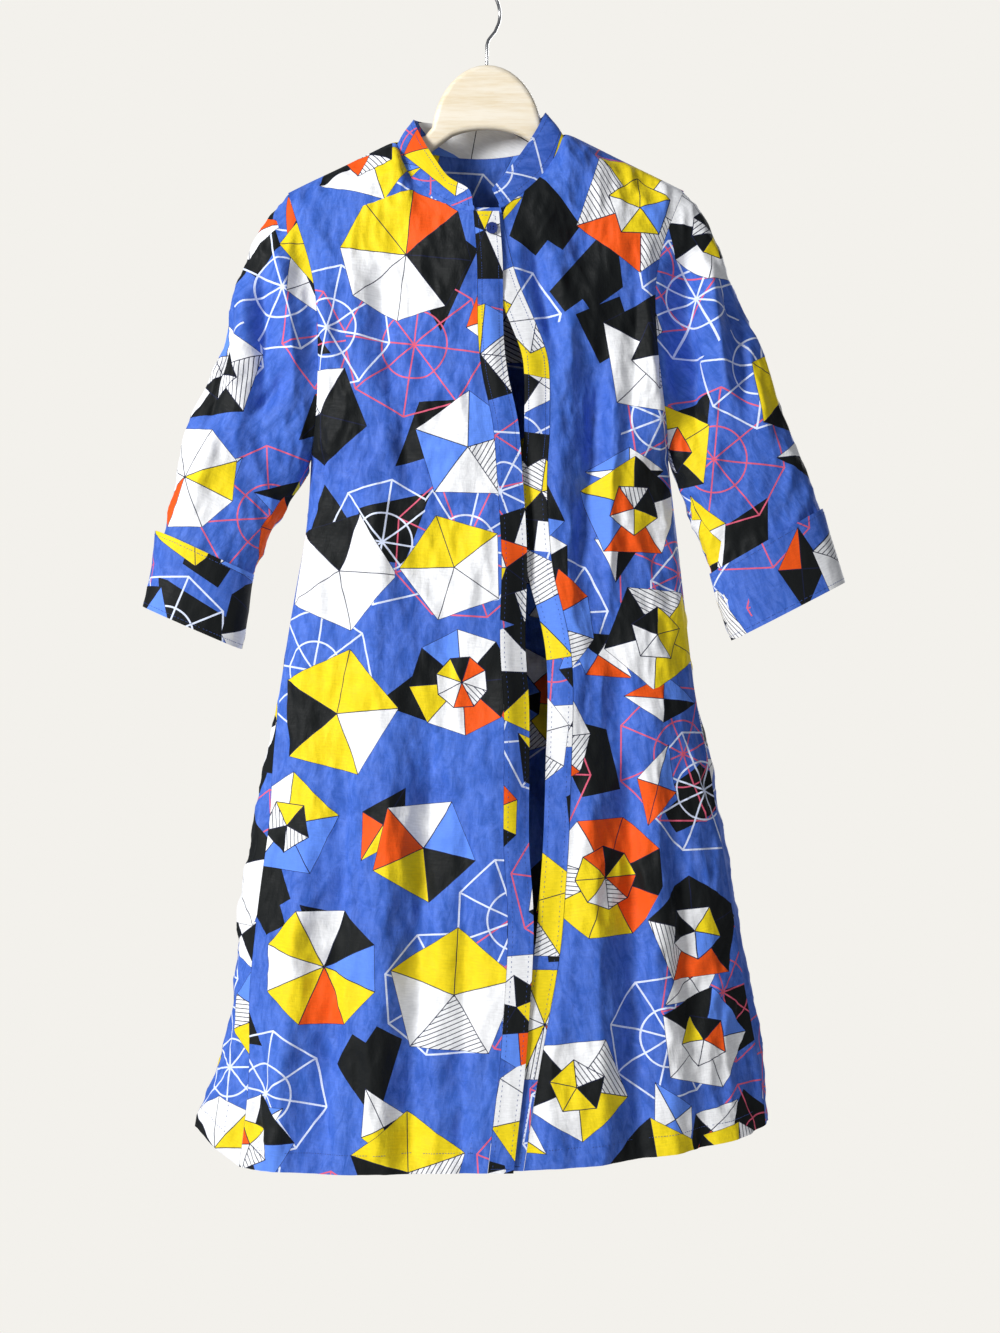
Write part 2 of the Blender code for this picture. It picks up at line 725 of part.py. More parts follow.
def wall_mesh(piece):
    """The closed wall between the grid's outer face and the same grid moved in."""
    outer = piece.points + piece.normals * piece.proud
    inner = outer - piece.normals * piece.thickness
    rows, columns = piece.points.shape[:2]
    inner_start = rows * columns
    faces = []

    def index(row, col):
        return row * columns + col % columns

    for row in range(rows - 1):
        for col in range(columns if piece.tube else columns - 1):
            a, b = index(row, col), index(row, col + 1)
            c, d = index(row + 1, col + 1), index(row + 1, col)
            for corners in ((a, d, c), (a, c, b)):
                faces.append(corners[:: piece.outside])
                faces.append(tuple(i + inner_start for i in corners[:: -piece.outside]))
    rims = [[index(0, c) for c in range(columns)], [index(rows - 1, c) for c in range(columns)][::-1]]
    if piece.tube:
        rims = [rim + rim[:1] for rim in rims]
    else:
        around = rims[0] + [index(r, columns - 1) for r in range(1, rows)]
        around += rims[1][1:] + [index(r, 0) for r in range(rows - 2, -1, -1)]
        rims = [around]
    order = outer.reshape(-1, 3) @ RIM_ORDER
    for rim in rims:
        for a, b in zip(rim, rim[1:]):
            inner_a, inner_b = a + inner_start, b + inner_start
            halves = ((a, b, inner_b), (a, inner_b, inner_a))
            if order[a] > order[b]:
                halves = ((a, b, inner_a), (b, inner_b, inner_a))
            for corners in halves:
                faces.append(corners[:: piece.outside])
    mesh = bpy.data.meshes.new(piece.name)
    points = np.concatenate([outer.reshape(-1, 3), inner.reshape(-1, 3)]) * MM
    mesh.from_pydata(points.tolist(), [], faces)
    mesh.shade_smooth()
    mesh.set_sharp_from_angle(angle=math.radians(50))
    return mesh


def material(name, colour, roughness, metallic=0.0):
    made = bpy.data.materials.new(name)
    made.use_nodes = True
    shader = made.node_tree.nodes["Principled BSDF"]
    shader.inputs["Base Color"].default_value = (*colour, 1)
    shader.inputs["Roughness"].default_value = roughness
    shader.inputs["Metallic"].default_value = metallic
    return made


def place(name, data, collection, *finish):
    made = bpy.data.objects.new(name, data)
    collection.objects.link(made)
    data.materials.append(material(name, *finish))
    return made


def cloth_pieces():
    fronts = {side: front_panel(side) for side in (LEFT, RIGHT)}
    sleeves = {side: sleeve_tube(side) for side in (LEFT, RIGHT)}
    double = {"thickness": DOUBLE_WALL, "proud": PROUD}
    pieces = [
        Piece("front_right", fronts[LEFT], 1, "top left right"),
        Piece("front_left", fronts[RIGHT], 1, "top left right"),
        Piece("back", back_panel(), -1, "top left right"),
        Piece("band_right", band_strip(LEFT), 1, "left", **double),
        Piece("band_left", band_strip(RIGHT), 1, "right", **double),
        Piece("collar", collar_strip(), -1, "bottom", **double),
        Piece("sleeve_right", sleeves[LEFT], 1, "top", tube=True),
        Piece("sleeve_left", sleeves[RIGHT], -1, "top", tube=True),
    ]
    sew(pieces)
    for sleeve, side in zip(pieces[-2:], (LEFT, RIGHT)):
        points = cuff_tube(side, sleeve.points, sleeve.normals)
        name = sleeve.name.replace("sleeve", "cuff")
        pieces.append(Piece(name, points, sleeve.outside, tube=True, thickness=DOUBLE_WALL))
    return pieces


# Hard pieces


def button_mesh(band):
    """A turned disc lying on the band, tilted as the band is there."""
    middle = band.points[:, BAND_COLUMNS // 2]
    row = int(np.argmin(np.abs(middle[:, 2] - BUTTON_Z)))
    normal = band.normals[row, BAND_COLUMNS // 2]
    face = band.points[row, BAND_COLUMNS // 2]
    seat_y = face[1] - (normal[0] * (BUTTON_X - face[0]) + normal[2] * (BUTTON_Z - face[2])) / normal[1]
    seat = np.array([BUTTON_X, seat_y, BUTTON_Z])
    seat += normal * (PROUD + BUTTON_CLEARANCE + BUTTON_THICKNESS / 2)
    bpy.ops.mesh.primitive_cylinder_add(
        vertices=24, radius=BUTTON_DIAMETER / 2 * MM, depth=BUTTON_THICKNESS * MM
    )
    button = bpy.context.object
    button.name = "button"
    button.location = seat * MM
    button.rotation_euler = (math.atan2(-normal[1], normal[2]), math.asin(normal[0]), 0)
    bevel = button.modifiers.new("Rounded rim", "BEVEL")
    bevel.width = BUTTON_BEVEL * MM
    bevel.segments = 2
    return button


def wood_top(x):
    """Upper line of the hanger at x: the dome at the neck, the arms under the shoulders."""
    side = LEFT if x < 0 else RIGHT
    line = SHOULDERS[side]
    slope = (line[-2].z - line[-1].z) / (line[-2].x - line[-1].x)
    keys = [point.x for point in line][::-side]
    heights = [point.z for point in line][::-side]
    neck_x = line[-1].x
    arm = np.interp(x, keys, heights) if abs(x) > abs(neck_x) else line[-1].z + slope * (x - neck_x)
    arm -= HANGER_BELOW_CLOTH + HANGER_BELOW_NECK * ease((135 - abs(x)) / 45)
    if abs(x) < DOME_HALF_WIDTH:
        share = math.sqrt(1 - (x / DOME_HALF_WIDTH) ** 2)
        return max(arm, DOME_BASE + (DOME_TOP - DOME_BASE) * share)
    return arm


def wood_bottom(x):
    """Lower line: an arch under the neck, then along the arms, which taper to the tips."""
    reach = abs(x) / HANGER_TIP
    depth = ARM_DEPTH + (ARM_TIP_DEPTH - ARM_DEPTH) * reach
    along_arm = wood_top(math.copysign(max(abs(x), DOME_HALF_WIDTH), x)) - depth
    arch = UNDERSIDE_TOP - 0.0052 * x * x
    mix = ease((abs(x) - 30) / 50)
    return arch * (1 - mix) + along_arm * mix


def hanger_outline():
    reach = HANGER_TIP
    dome = [DOME_HALF_WIDTH * math.sin(math.radians(a)) for a in range(-80, 81, 8)]
    arms = list(np.linspace(reach, DOME_HALF_WIDTH + 6, 9))
    top = [-x for x in arms] + dome + arms[::-1]
    outline_points = [(x, wood_top(x)) for x in top]
    tip_round = [math.radians(a) for a in range(60, -61, -30)]
    radius = ARM_TIP_DEPTH / 2

    def tip(side):
        middle = (wood_top(side * reach) + wood_bottom(side * reach)) / 2
        turns = tip_round if side > 0 else tip_round[::-1]
        return [
            (side * (reach + radius * math.cos(a) * 0.8), middle + radius * math.sin(a))
            for a in turns
        ]

    bottom = np.linspace(reach, -reach, 41)
    outline_points += tip(RIGHT) + [(x, wood_bottom(x)) for x in bottom] + tip(LEFT)
    return outline_points


def hanger_object(collection):
    curve = bpy.data.curves.new("hanger outline", "CURVE")
    curve.dimensions = "2D"
    curve.fill_mode = "BOTH"
    curve.extrude = HANGER_THICKNESS / 2 * MM
    points = hanger_outline()
    spline = curve.splines.new("POLY")
    spline.points.add(len(points) - 1)
    for point, (x, z) in zip(spline.points, points):
        point.co = (x * MM, z * MM, 0, 1)
    spline.use_cyclic_u = True
    flat = bpy.data.objects.new("hanger outline", curve)
    collection.objects.link(flat)
    mesh = bpy.data.meshes.new_from_object(flat.evaluated_get(bpy.context.evaluated_depsgraph_get()))
    bpy.data.objects.remove(flat)
    work = bmesh.new()
    work.from_mesh(mesh)
    bmesh.ops.remove_doubles(work, verts=work.verts, dist=0.00001)
    bmesh.ops.dissolve_limit(work, angle_limit=math.radians(1), verts=work.verts, edges=work.edges)
    work.to_mesh(mesh)
    work.free()
    hanger = place("hanger", mesh, collection, BIRCH, 0.45)
    hanger.rotation_euler = (math.pi / 2, 0, 0)
    bevel = hanger.modifiers.new("Rounded edges", "BEVEL")
    bevel.width = HANGER_BEVEL * MM
    bevel.segments = 3
    bevel.limit_method = "ANGLE"
    bevel.angle_limit = math.radians(60)
    return hanger


def hook_route():
    """Shank up from the wood, a sweep out to the side, and round over the top."""
    centre = WIRE / 2 - HOOK_RADIUS
    foot = DOME_TOP + 0.4
    route = [(0, foot), (0, (foot + SHANK_TOP) / 2), (0, SHANK_TOP)]
    start = math.radians(-38)
    join = (HOOK_RADIUS * math.cos(start), centre + HOOK_RADIUS * math.sin(start))
    for t in (0.25, 0.5, 0.75):
        lift = SHANK_TOP + (join[1] - SHANK_TOP) * t
        route.append((join[0] * ease(t * 0.92) * 1.04, lift))
    for degrees in range(-38, 157, 8):
        angle = math.radians(degrees)
        route.append((HOOK_RADIUS * math.cos(angle), centre + HOOK_RADIUS * math.sin(angle)))
    return [(out * math.cos(HOOK_SWIVEL), out * math.sin(HOOK_SWIVEL), z) for out, z in route]


def hook_object(collection):
    curve = bpy.data.curves.new("hook", "CURVE")
    curve.dimensions = "3D"
    curve.bevel_depth = WIRE / 2 * MM
    curve.bevel_resolution = 2
    curve.use_fill_caps = True
    route = hook_route()
    spline = curve.splines.new("POLY")
    spline.points.add(len(route) - 1)
    for point, (x, y, z) in zip(spline.points, route):
        point.co = (x * MM, y * MM, z * MM, 1)
    return place("hook", curve, collection, STEEL, 0.25, 1.0)


def main():
    for thing in list(bpy.data.objects):
        bpy.data.objects.remove(thing)
    collection = bpy.data.collections.new("wax_print_dress_on_hanger")
    bpy.context.scene.collection.children.link(collection)
    pieces = cloth_pieces()
    for piece in pieces:
        place(piece.name, wall_mesh(piece), collection, BLUE, 0.7)
    band = next(piece for piece in pieces if piece.name == "band_right")
    button = button_mesh(band)
    for holder in list(button.users_collection):
        holder.objects.unlink(button)
    collection.objects.link(button)
    button.data.materials.append(material("button", NAVY, 0.3))
    hanger_object(collection)
    hook_object(collection)


main()
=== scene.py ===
import math

import bmesh
import bpy
import numpy as np
from mathutils import Matrix, Vector, bvhtree, geometry, kdtree, noise


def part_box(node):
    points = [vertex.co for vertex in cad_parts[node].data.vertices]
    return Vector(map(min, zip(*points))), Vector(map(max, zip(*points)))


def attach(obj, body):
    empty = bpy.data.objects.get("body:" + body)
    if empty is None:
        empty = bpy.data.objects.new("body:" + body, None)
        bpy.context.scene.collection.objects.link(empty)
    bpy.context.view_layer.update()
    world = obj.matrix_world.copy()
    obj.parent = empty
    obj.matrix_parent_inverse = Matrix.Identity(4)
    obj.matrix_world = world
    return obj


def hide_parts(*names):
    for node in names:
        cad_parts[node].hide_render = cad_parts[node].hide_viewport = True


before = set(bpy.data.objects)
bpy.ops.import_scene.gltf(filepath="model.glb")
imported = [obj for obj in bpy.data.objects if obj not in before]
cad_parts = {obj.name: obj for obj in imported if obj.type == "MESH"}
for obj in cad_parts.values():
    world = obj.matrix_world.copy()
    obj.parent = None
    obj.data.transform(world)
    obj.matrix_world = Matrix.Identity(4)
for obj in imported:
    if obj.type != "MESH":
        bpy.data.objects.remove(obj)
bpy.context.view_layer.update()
print("frame loaded:", len(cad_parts), "nodes")

mm = 0.001
rgba = {"data_type": "RGBA"}
scene = bpy.context.scene


# small helpers

def toLinear(hexColour):
    parts = [int(hexColour[i:i + 2], 16) / 255 for i in (1, 3, 5)]
    return [p / 12.92 if p <= 0.04045 else ((p + 0.055) / 1.055) ** 2.4 for p in parts] + [1.0]


def addNode(tree, kind, *inputs, **settings):
    # inputs go to the sockets in use, in their order, and a dictionary among them names its own
    node = tree.nodes.new("ShaderNode" + kind)
    for name, value in settings.items():
        setattr(node, name, value)
    sockets = [socket for socket in node.inputs if socket.enabled]
    pairs = []
    for index, value in enumerate(inputs):
        if isinstance(value, dict):
            pairs += [(node.inputs[name], item) for name, item in value.items()]
        else:
            pairs.append((sockets[index], value))
    for socket, value in pairs:
        if isinstance(value, bpy.types.NodeSocket):
            tree.links.new(value, socket)
        else:
            socket.default_value = value
    return node


def newMaterial(name, steps, skin):
    # A step is a title, the kind of node with its operation or its settings, and its inputs,
    # which may name the output of an earlier step. A step with an operation alone is a Math
    # node's. skin has the surface's inputs in the same way.
    material = bpy.data.materials.new(name)
    material.use_nodes = True
    tree = material.node_tree
    tree.nodes.clear()
    made = {}

    def found(item):
        if isinstance(item, dict):
            return {key: found(value) for key, value in item.items()}
        return made[item] if isinstance(item, str) else item

    for title, kind, *inputs in steps:
        how = kind if kind.isupper() else inputs.pop(0)
        settings = how if isinstance(how, dict) else {"operation": how}
        kind = "Math" if kind.isupper() else kind
        node = addNode(tree, kind, *[found(item) for item in inputs], **settings)
        made[title] = next(socket for socket in node.outputs if socket.enabled)
        made.update({title + "." + socket.name: socket for socket in node.outputs})
    surface = addNode(tree, "BsdfPrincipled", found(skin))
    addNode(tree, "OutputMaterial", surface.outputs[0])
    return material


def leaveEdit():
    if bpy.context.object and bpy.context.object.mode != "OBJECT":
        bpy.ops.object.mode_set(mode="OBJECT")


def deselectAll():
    leaveEdit()
    bpy.ops.object.select_all(action="DESELECT")


def pick(obj):
    deselectAll()
    obj.select_set(True)
    bpy.context.view_layer.objects.active = obj


def edit(obj, action):
    pick(obj)
    bpy.ops.object.mode_set(mode="EDIT")
    bpy.ops.mesh.select_all(action=action)


def selectFacing(obj, way):
    # the faces that look one way, of an object in edit mode
    mesh = bmesh.from_edit_mesh(obj.data)
    for face in mesh.faces:
        face.select = face.normal.dot(way) > 0.9
    mesh.select_flush_mode()
    bmesh.update_edit_mesh(obj.data)


def newObject(name, data):
    obj = bpy.data.objects.new(name, data)
    scene.collection.objects.link(obj)
    pick(obj)
    return obj


def newForm(kind, **settings):
    deselectAll()
    getattr(bpy.ops.mesh, "primitive_" + kind + "_add")(**settings)
    return bpy.context.object


def modify(obj, kind, **settings):
    modifier = obj.modifiers.new(kind, kind)
    for name, value in settings.items():
        setattr(modifier, name, value)
    pick(obj)
    bpy.ops.object.modifier_apply(modifier=modifier.name)


def shadeBelow(degrees):
    bpy.ops.object.shade_smooth_by_angle(angle=math.radians(degrees))


def giveMaterial(obj, material):
    obj.data.materials.clear()
    obj.data.materials.append(material)


def readMesh(data):
    mesh = bmesh.new()
    mesh.from_mesh(data)
    return mesh


def solidMesh(node, merge):
    mesh = readMesh(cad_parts[node].data)
    bmesh.ops.remove_doubles(mesh, verts=mesh.verts, dist=merge)
    return mesh


def meshObject(mesh, name):
    data = bpy.data.meshes.new(name)
    mesh.to_mesh(data)
    mesh.free()
    return newObject(name, data)


# the printed cotton

# Wax print is plain-woven cotton of about 130 g/m2, printed with resin and dyed on both sides,
# then starched and calendered. It gives flat strong colours, fine dark lines round them,
# a low silky sheen on the folds, and the same drawing on the wrong side.
clothPrint = {
    # the deep blue makes the ground's uneven tone, deep enough to stand in for soft painted shade
    # as well
    # the pale blue is a painted sheen laid over the ground
    "ground": "#4374DB", "groundDeep": "#3056B6", "paintedSheenBlue": "#94ABEE",
    "line": "#141A3A", "black": "#0B0F10", "coral": "#E2607C", "white": "#DFE8FF",
    "facets": [
        (0.00, "#F3F4F6"), (0.29, "#F2D816"), (0.47, "#0B0F10"), (0.70, "#F2580F"),
        (0.80, "#5E8CF0"), (0.87, "#F3F4F6"),
    ],
    "hatchedFrom": 0.87,  # the facets drawn above this are white with fine hatching
    "hatchSpacing": 4.2 * mm, "hatchShare": 0.2, "outline": 0.9 * mm,
    # the long streaks are painted shade and light of fine creases
    "mottle": 90 * mm, "bath": (8 * mm, 20 * mm),
    # where the streaks are lightest, pale blue is laid over them as a painted sheen
    "dye": (0.30, 0.66, 0.78, 1.10), "bloom": (0.40, 0.80, 0.0, 0.26),
}

# The figures of the print. Each kind has a loose lattice: cell is how far apart its points are,
# loose how freely they stray, and shown the share of them that gets a figure.
figures = {
    "coral": {"cell": 205 * mm, "loose": 0.75, "shown": 0.62, "radius": 66 * mm, "line": 1.5 * mm},
    "wheel": {"cell": 182 * mm, "loose": 0.75, "shown": 0.78, "radius": 58 * mm, "line": 1.8 * mm},
    "shard": {"cell": 158 * mm, "loose": 0.8, "shown": 0.8, "wide": 36 * mm, "tip": 66 * mm,
              "tail": 34 * mm, "arrows": 0.55, "notch": 0.3, "barb": 0.9, "beyond": 200 * mm},
    "diamond": {"cell": 112 * mm, "loose": 0.8, "shown": 0.52, "wide": 24 * mm, "tall": 42 * mm},
    "gem": {"cell": 142 * mm, "loose": 0.6, "shown": 0.92, "radius": 41 * mm, "growth": 20 * mm,
            "fives": 0.55, "plain": 0.5, "core": 0.5},
}

# The weave and its hand, across and down the cloth. Real threads lie about 0.3 mm apart, too
# fine to show, so these are three times as coarse. waveBand is a wave texture's band at scale 1.
weave = {
    "thread": 0.9 * mm, "waveBand": 0.314, "threadDepth": 0.06 * mm, "slub": (9 * mm, 1.6 * mm),
    "fade": (0.90, 1.02), "roughness": (0.58, 0.70), "wrinkle": (46 * mm, 95 * mm),
    "specular": 0.2, "sheenRoughness": 0.45, "sheenTint": (0.8, 0.87, 1.0, 1.0),
}


def named(name, steps):
    # the steps with a name put in the place of each @
    def put(item):
        if isinstance(item, dict):
            return {key: put(value) for key, value in item.items()}
        return item.replace("@", name) if isinstance(item, str) else item
    return [tuple(put(item) for item in step) for step in steps]


def perMetre(sizes):
    return 1 / sizes[0], 1 / sizes[1], 1.0


def cellSteps(name):
    # the nearest point of a loose lattice, dice for it, and the place measured from it
    figure = figures[name]
    return named(name, [
        ("@Cell", "TexVoronoi", {"voronoi_dimensions": "2D"},
         "cloth", {"Scale": 1 / figure["cell"], "Randomness": figure["loose"]}),
        ("@Dice", "SeparateColor", {}, "@Cell.Color"),
        ("@Draw", "TexWhiteNoise", {"noise_dimensions": "2D"}, "@Cell.Position"),
        ("@Spot", "VectorMath", "SUBTRACT", "cloth", "@Cell.Position"),
        ("@Shown", "LESS_THAN", "@Draw.Value", figure["shown"]),
    ])


def roundSteps(name):
    # how far the place is from the point, and the angle to it as a share of a whole turn
    return named(name, [
        ("@Far", "VectorMath", "LENGTH", "@Spot"),
        ("@Axes", "SeparateXYZ", {}, "@Spot"),
        ("@Round", "ARCTAN2", "@Axes.Y", "@Axes.X"),
        ("@Turn", "MULTIPLY_ADD", "@Round", 1 / math.tau, "@Dice.Blue"),
    ])


def turnedSteps(name, place, dice, most):
    # a place turned by the dice, by an angle of up to the most
    return named(name, [
        ("@Angle", "MULTIPLY", dice, most),
        ("@Turned", "VectorRotate", {"rotation_type": "Z_AXIS"}, place, {"Angle": "@Angle"}),
        ("@Axes", "SeparateXYZ", {}, "@Turned"),
    ])


def wedgeSteps(name, far, turn, points):
    # the wedge of a many-sided figure that a place is in, its reach and its distance to a spoke
    return named(name, [
        ("@Sector", "MULTIPLY", turn, points),
        ("@Part", "FRACT", "@Sector"),
        ("@Lean", "SUBTRACT", "@Part", 0.5),
        ("@Wedge", "DIVIDE", math.tau, points),
        ("@Angle", "MULTIPLY", "@Lean", "@Wedge"),
        ("@Cosine", "COSINE", "@Angle"),
        ("@Reach", "MULTIPLY", far, "@Cosine"),
        ("@Side", "ABSOLUTE", "@Lean"),
        ("@Inward", "SUBTRACT", 0.5, "@Side"),
        ("@SpokeAngle", "MULTIPLY", "@Inward", "@Wedge"),
        ("@Sine", "SINE", "@SpokeAngle"),
        ("@Spoke", "MULTIPLY", far, "@Sine"),
    ])


def paintSteps(name):
    # one of the facets' colours for each seed
    return named(name, [
        ("@Toss", "TexWhiteNoise", {"noise_dimensions": "3D"}, "@Seed"),
        ("@Paint", "ValToRGB", {}, "@Toss.Value"),
    ])


def wheelSteps(name):
    # a wheel in line: eight spokes, an eight-sided rim and a round inner ring
    radius, line = figures[name]["radius"], figures[name]["line"]
    wedges = wedgeSteps(name, "@Far", "@Turn", 8.0)
    return cellSteps(name) + roundSteps(name) + wedges + named(name, [
        ("@Out", "GREATER_THAN", "@Reach", radius),
        ("@InnerSpoke", "ADD", "@Spoke", "@Out"),
        ("@RimGap", "SUBTRACT", "@Reach", radius),
        ("@Rim", "ABSOLUTE", "@RimGap"),
        ("@RingGap", "SUBTRACT", "@Far", radius / 2),
        ("@Ring", "ABSOLUTE", "@RingGap"),
        ("@NearA", "MINIMUM", "@Rim", "@InnerSpoke"),
        ("@NearB", "MINIMUM", "@NearA", "@Ring"),
        ("@Drawn", "LESS_THAN", "@NearB", line / 2),
        ("@Mask", "MULTIPLY", "@Drawn", "@Shown"),
    ])


def shardSteps():
    # black arrowheads and kites, each turned and leaning its own way
    shard = figures["shard"]
    turned = turnedSteps("shard", "@Spot", "@Dice.Red", math.tau)
    return cellSteps("shard") + turned + named("shard", [
        ("@Lean", "SUBTRACT", "@Dice.Green", 0.5),
        ("@Shift", "MULTIPLY", "@Lean", "@Axes.Y"),
        ("@X", "ADD", "@Axes.X", "@Shift"),
        ("@Off", "ABSOLUTE", "@X"),
        ("@Up", "MULTIPLY", "@Axes.Y", 1 / shard["tip"]),
        ("@Down", "MULTIPLY", "@Axes.Y", -1 / shard["tail"]),
        ("@Tall", "MAXIMUM", "@Up", "@Down"),
        ("@Sum", "MULTIPLY_ADD", "@Off", 1 / shard["wide"], "@Tall"),
        ("@In", "LESS_THAN", "@Sum", 1.0),
        # an arrowhead has a notch between its barbs, and a kite's lies beyond its tail
        ("@Kite", "GREATER_THAN", "@Dice.Blue", shard["arrows"]),
        ("@Notch", "MULTIPLY_ADD", "@Kite", shard["beyond"], shard["notch"] * shard["tail"]),
        ("@Base", "MULTIPLY_ADD", "@Off", shard["barb"], "@Notch"),
        ("@Over", "ADD", "@Axes.Y", "@Base"),
        ("@Kept", "GREATER_THAN", "@Over", 0.0),
        ("@Both", "MULTIPLY", "@In", "@Kept"),
        ("@Mask", "MULTIPLY", "@Both", "@Shown"),
    ])


def diamondSteps():
    # lozenges quartered in four colours
    wide, tall = figures["diamond"]["wide"], figures["diamond"]["tall"]
    turned = turnedSteps("diamond", "@Spot", "@Dice.Red", math.tau)
    return cellSteps("diamond") + turned + named("diamond", [
        ("@X", "ABSOLUTE", "@Axes.X"),
        ("@Y", "ABSOLUTE", "@Axes.Y"),
        ("@Share", "MULTIPLY", "@X", 1 / wide),
        ("@Sum", "MULTIPLY_ADD", "@Y", 1 / tall, "@Share"),
        ("@Left", "SUBTRACT", 1.0, "@Sum"),
        ("@Edge", "MULTIPLY", "@Left", wide * tall / math.hypot(wide, tall)),
        ("@Cross", "MINIMUM", "@X", "@Y"),
        ("@Near", "MINIMUM", "@Cross", "@Edge"),
        ("@Line", "LESS_THAN", "@Near", clothPrint["outline"] / 2),
        ("@In", "GREATER_THAN", "@Left", 0.0),
        ("@Mask", "MULTIPLY", "@In", "@Shown"),
        ("@Right", "GREATER_THAN", "@Axes.X", 0.0),
        ("@Top", "GREATER_THAN", "@Axes.Y", 0.0),
        ("@Seed", "CombineXYZ", {}, "@Right", "@Top", "@Dice.Red"),
    ]) + paintSteps("diamond")


def gemSteps():
    # figures of five or eight wedges round a smaller one that is turned by half a wedge
    gem = figures["gem"]
    start = cellSteps("gem") + roundSteps("gem") + named("gem", [
        ("@Many", "GREATER_THAN", "@Dice.Green", gem["fives"]),
        ("@Points", "MULTIPLY_ADD", "@Many", 3.0, 5.0),
        ("@Half", "DIVIDE", 0.5, "@Points"),
        ("@CoreTurn", "ADD", "@Turn", "@Half"),
        ("@Size", "MULTIPLY_ADD", "@Dice.Red", gem["growth"], gem["radius"]),
        ("@Cored", "GREATER_THAN", "@Dice.Blue", gem["plain"]),
        ("@Inner", "MULTIPLY", "@Size", gem["core"]),
        ("@CoreSize", "MULTIPLY", "@Inner", "@Cored"),
    ])
    rim = wedgeSteps("rim", "gemFar", "gemTurn", "gemPoints")
    core = wedgeSteps("core", "gemFar", "gemCoreTurn", "gemPoints")
    return start + rim + core + named("gem", [
        ("rimGap", "SUBTRACT", "@Size", "rimReach"),
        ("coreGap", "SUBTRACT", "@CoreSize", "coreReach"),
        ("coreIn", "GREATER_THAN", "coreGap", 0.0),
        ("coreEdge", "ABSOLUTE", "coreGap"),
        ("@Spoke", "Mix", {}, "coreIn", "rimSpoke", "coreSpoke"),
        ("@NearA", "MINIMUM", "@Spoke", "coreEdge"),
        ("@NearB", "MINIMUM", "@NearA", "rimGap"),
        ("@Line", "LESS_THAN", "@NearB", clothPrint["outline"] / 2),
        ("@In", "GREATER_THAN", "rimGap", 0.0),
        ("@Mask", "MULTIPLY", "@In", "@Shown"),
        # each wedge's number, and 20 more in the core, so that no two wedges share their dice
        ("rimCount", "FLOOR", "rimSector"),
        ("rimIndex", "FLOORED_MODULO", "rimCount", "@Points"),
        ("coreCount", "FLOOR", "coreSector"),
        ("coreIndex", "FLOORED_MODULO", "coreCount", "@Points"),
        ("coreNumber", "ADD", "coreIndex", 20.0),
        ("@Number", "Mix", {}, "coreIn", "rimIndex", "coreNumber"),
        ("@Seed", "CombineXYZ", {}, "@Number", "@Dice.Red", "@Dice.Green"),
    ]) + paintSteps("gem")


def hatchSteps():
    # fine lines over some of the gems' white facets
    turned = turnedSteps("hatch", "cloth", "gemDice.Blue", math.pi)
    return turned + named("hatch", [
        ("@Run", "MULTIPLY", "@Axes.X", 1 / clothPrint["hatchSpacing"]),
        ("@Part", "FRACT", "@Run"),
        ("@Line", "LESS_THAN", "@Part", clothPrint["hatchShare"]),
        ("@Here", "GREATER_THAN", "gemToss.Value", clothPrint["hatchedFrom"]),
        ("@Mask", "MULTIPLY", "@Line", "@Here"),
        ("gemInk", "MAXIMUM", "gemLine", "@Mask"),
    ])


def layerSteps():
    # what lies over what, from the ground up
    ink = {name: toLinear(clothPrint[name]) for name in (
        "ground", "groundDeep", "paintedSheenBlue", "line", "black", "coral", "white")}
    return [
        # the ground's uneven tone, which also stands in for soft painted shade
        ("mottle", "TexNoise", {}, "cloth", {"Scale": 1 / clothPrint["mottle"], "Detail": 3.0}),
        ("onGround", "Mix", rgba, "mottle.Fac", ink["ground"], ink["groundDeep"]),
        # painted shade and light: long streaks down the cloth darken and lighten the ground as
        # fine creases would
        ("bathPlace", "VectorMath", "MULTIPLY", "cloth", perMetre(clothPrint["bath"])),
        ("bath", "TexNoise", {}, "bathPlace",
         {"Scale": 1.0, "Detail": 5.0, "Roughness": 0.7, "Distortion": 0.7}),
        ("dye", "MapRange", {}, "bath.Fac", *clothPrint["dye"]),
        ("dyed", "VectorMath", "SCALE", "onGround", {"Scale": "dye"}),
        # painted sheen: the lightest streaks are laid over with pale blue
        ("bloom", "MapRange", {}, "bath.Fac", *clothPrint["bloom"]),
        ("onDye", "Mix", rgba, "bloom", "dyed", ink["paintedSheenBlue"]),
        ("onShards", "Mix", rgba, "shardMask", "onDye", ink["black"]),
        ("onCoral", "Mix", rgba, "coralMask", "onShards", ink["coral"]),
        ("onWheels", "Mix", rgba, "wheelMask", "onCoral", ink["white"]),
        ("diamondInk", "Mix", rgba, "diamondLine", "diamondPaint.Color", ink["line"]),
        ("onDiamonds", "Mix", rgba, "diamondMask", "onWheels", "diamondInk"),
        ("gemColour", "Mix", rgba, "gemInk", "gemPaint.Color", ink["line"]),
        ("printed", "Mix", rgba, "gemMask", "onDiamonds", "gemColour"),
    ]


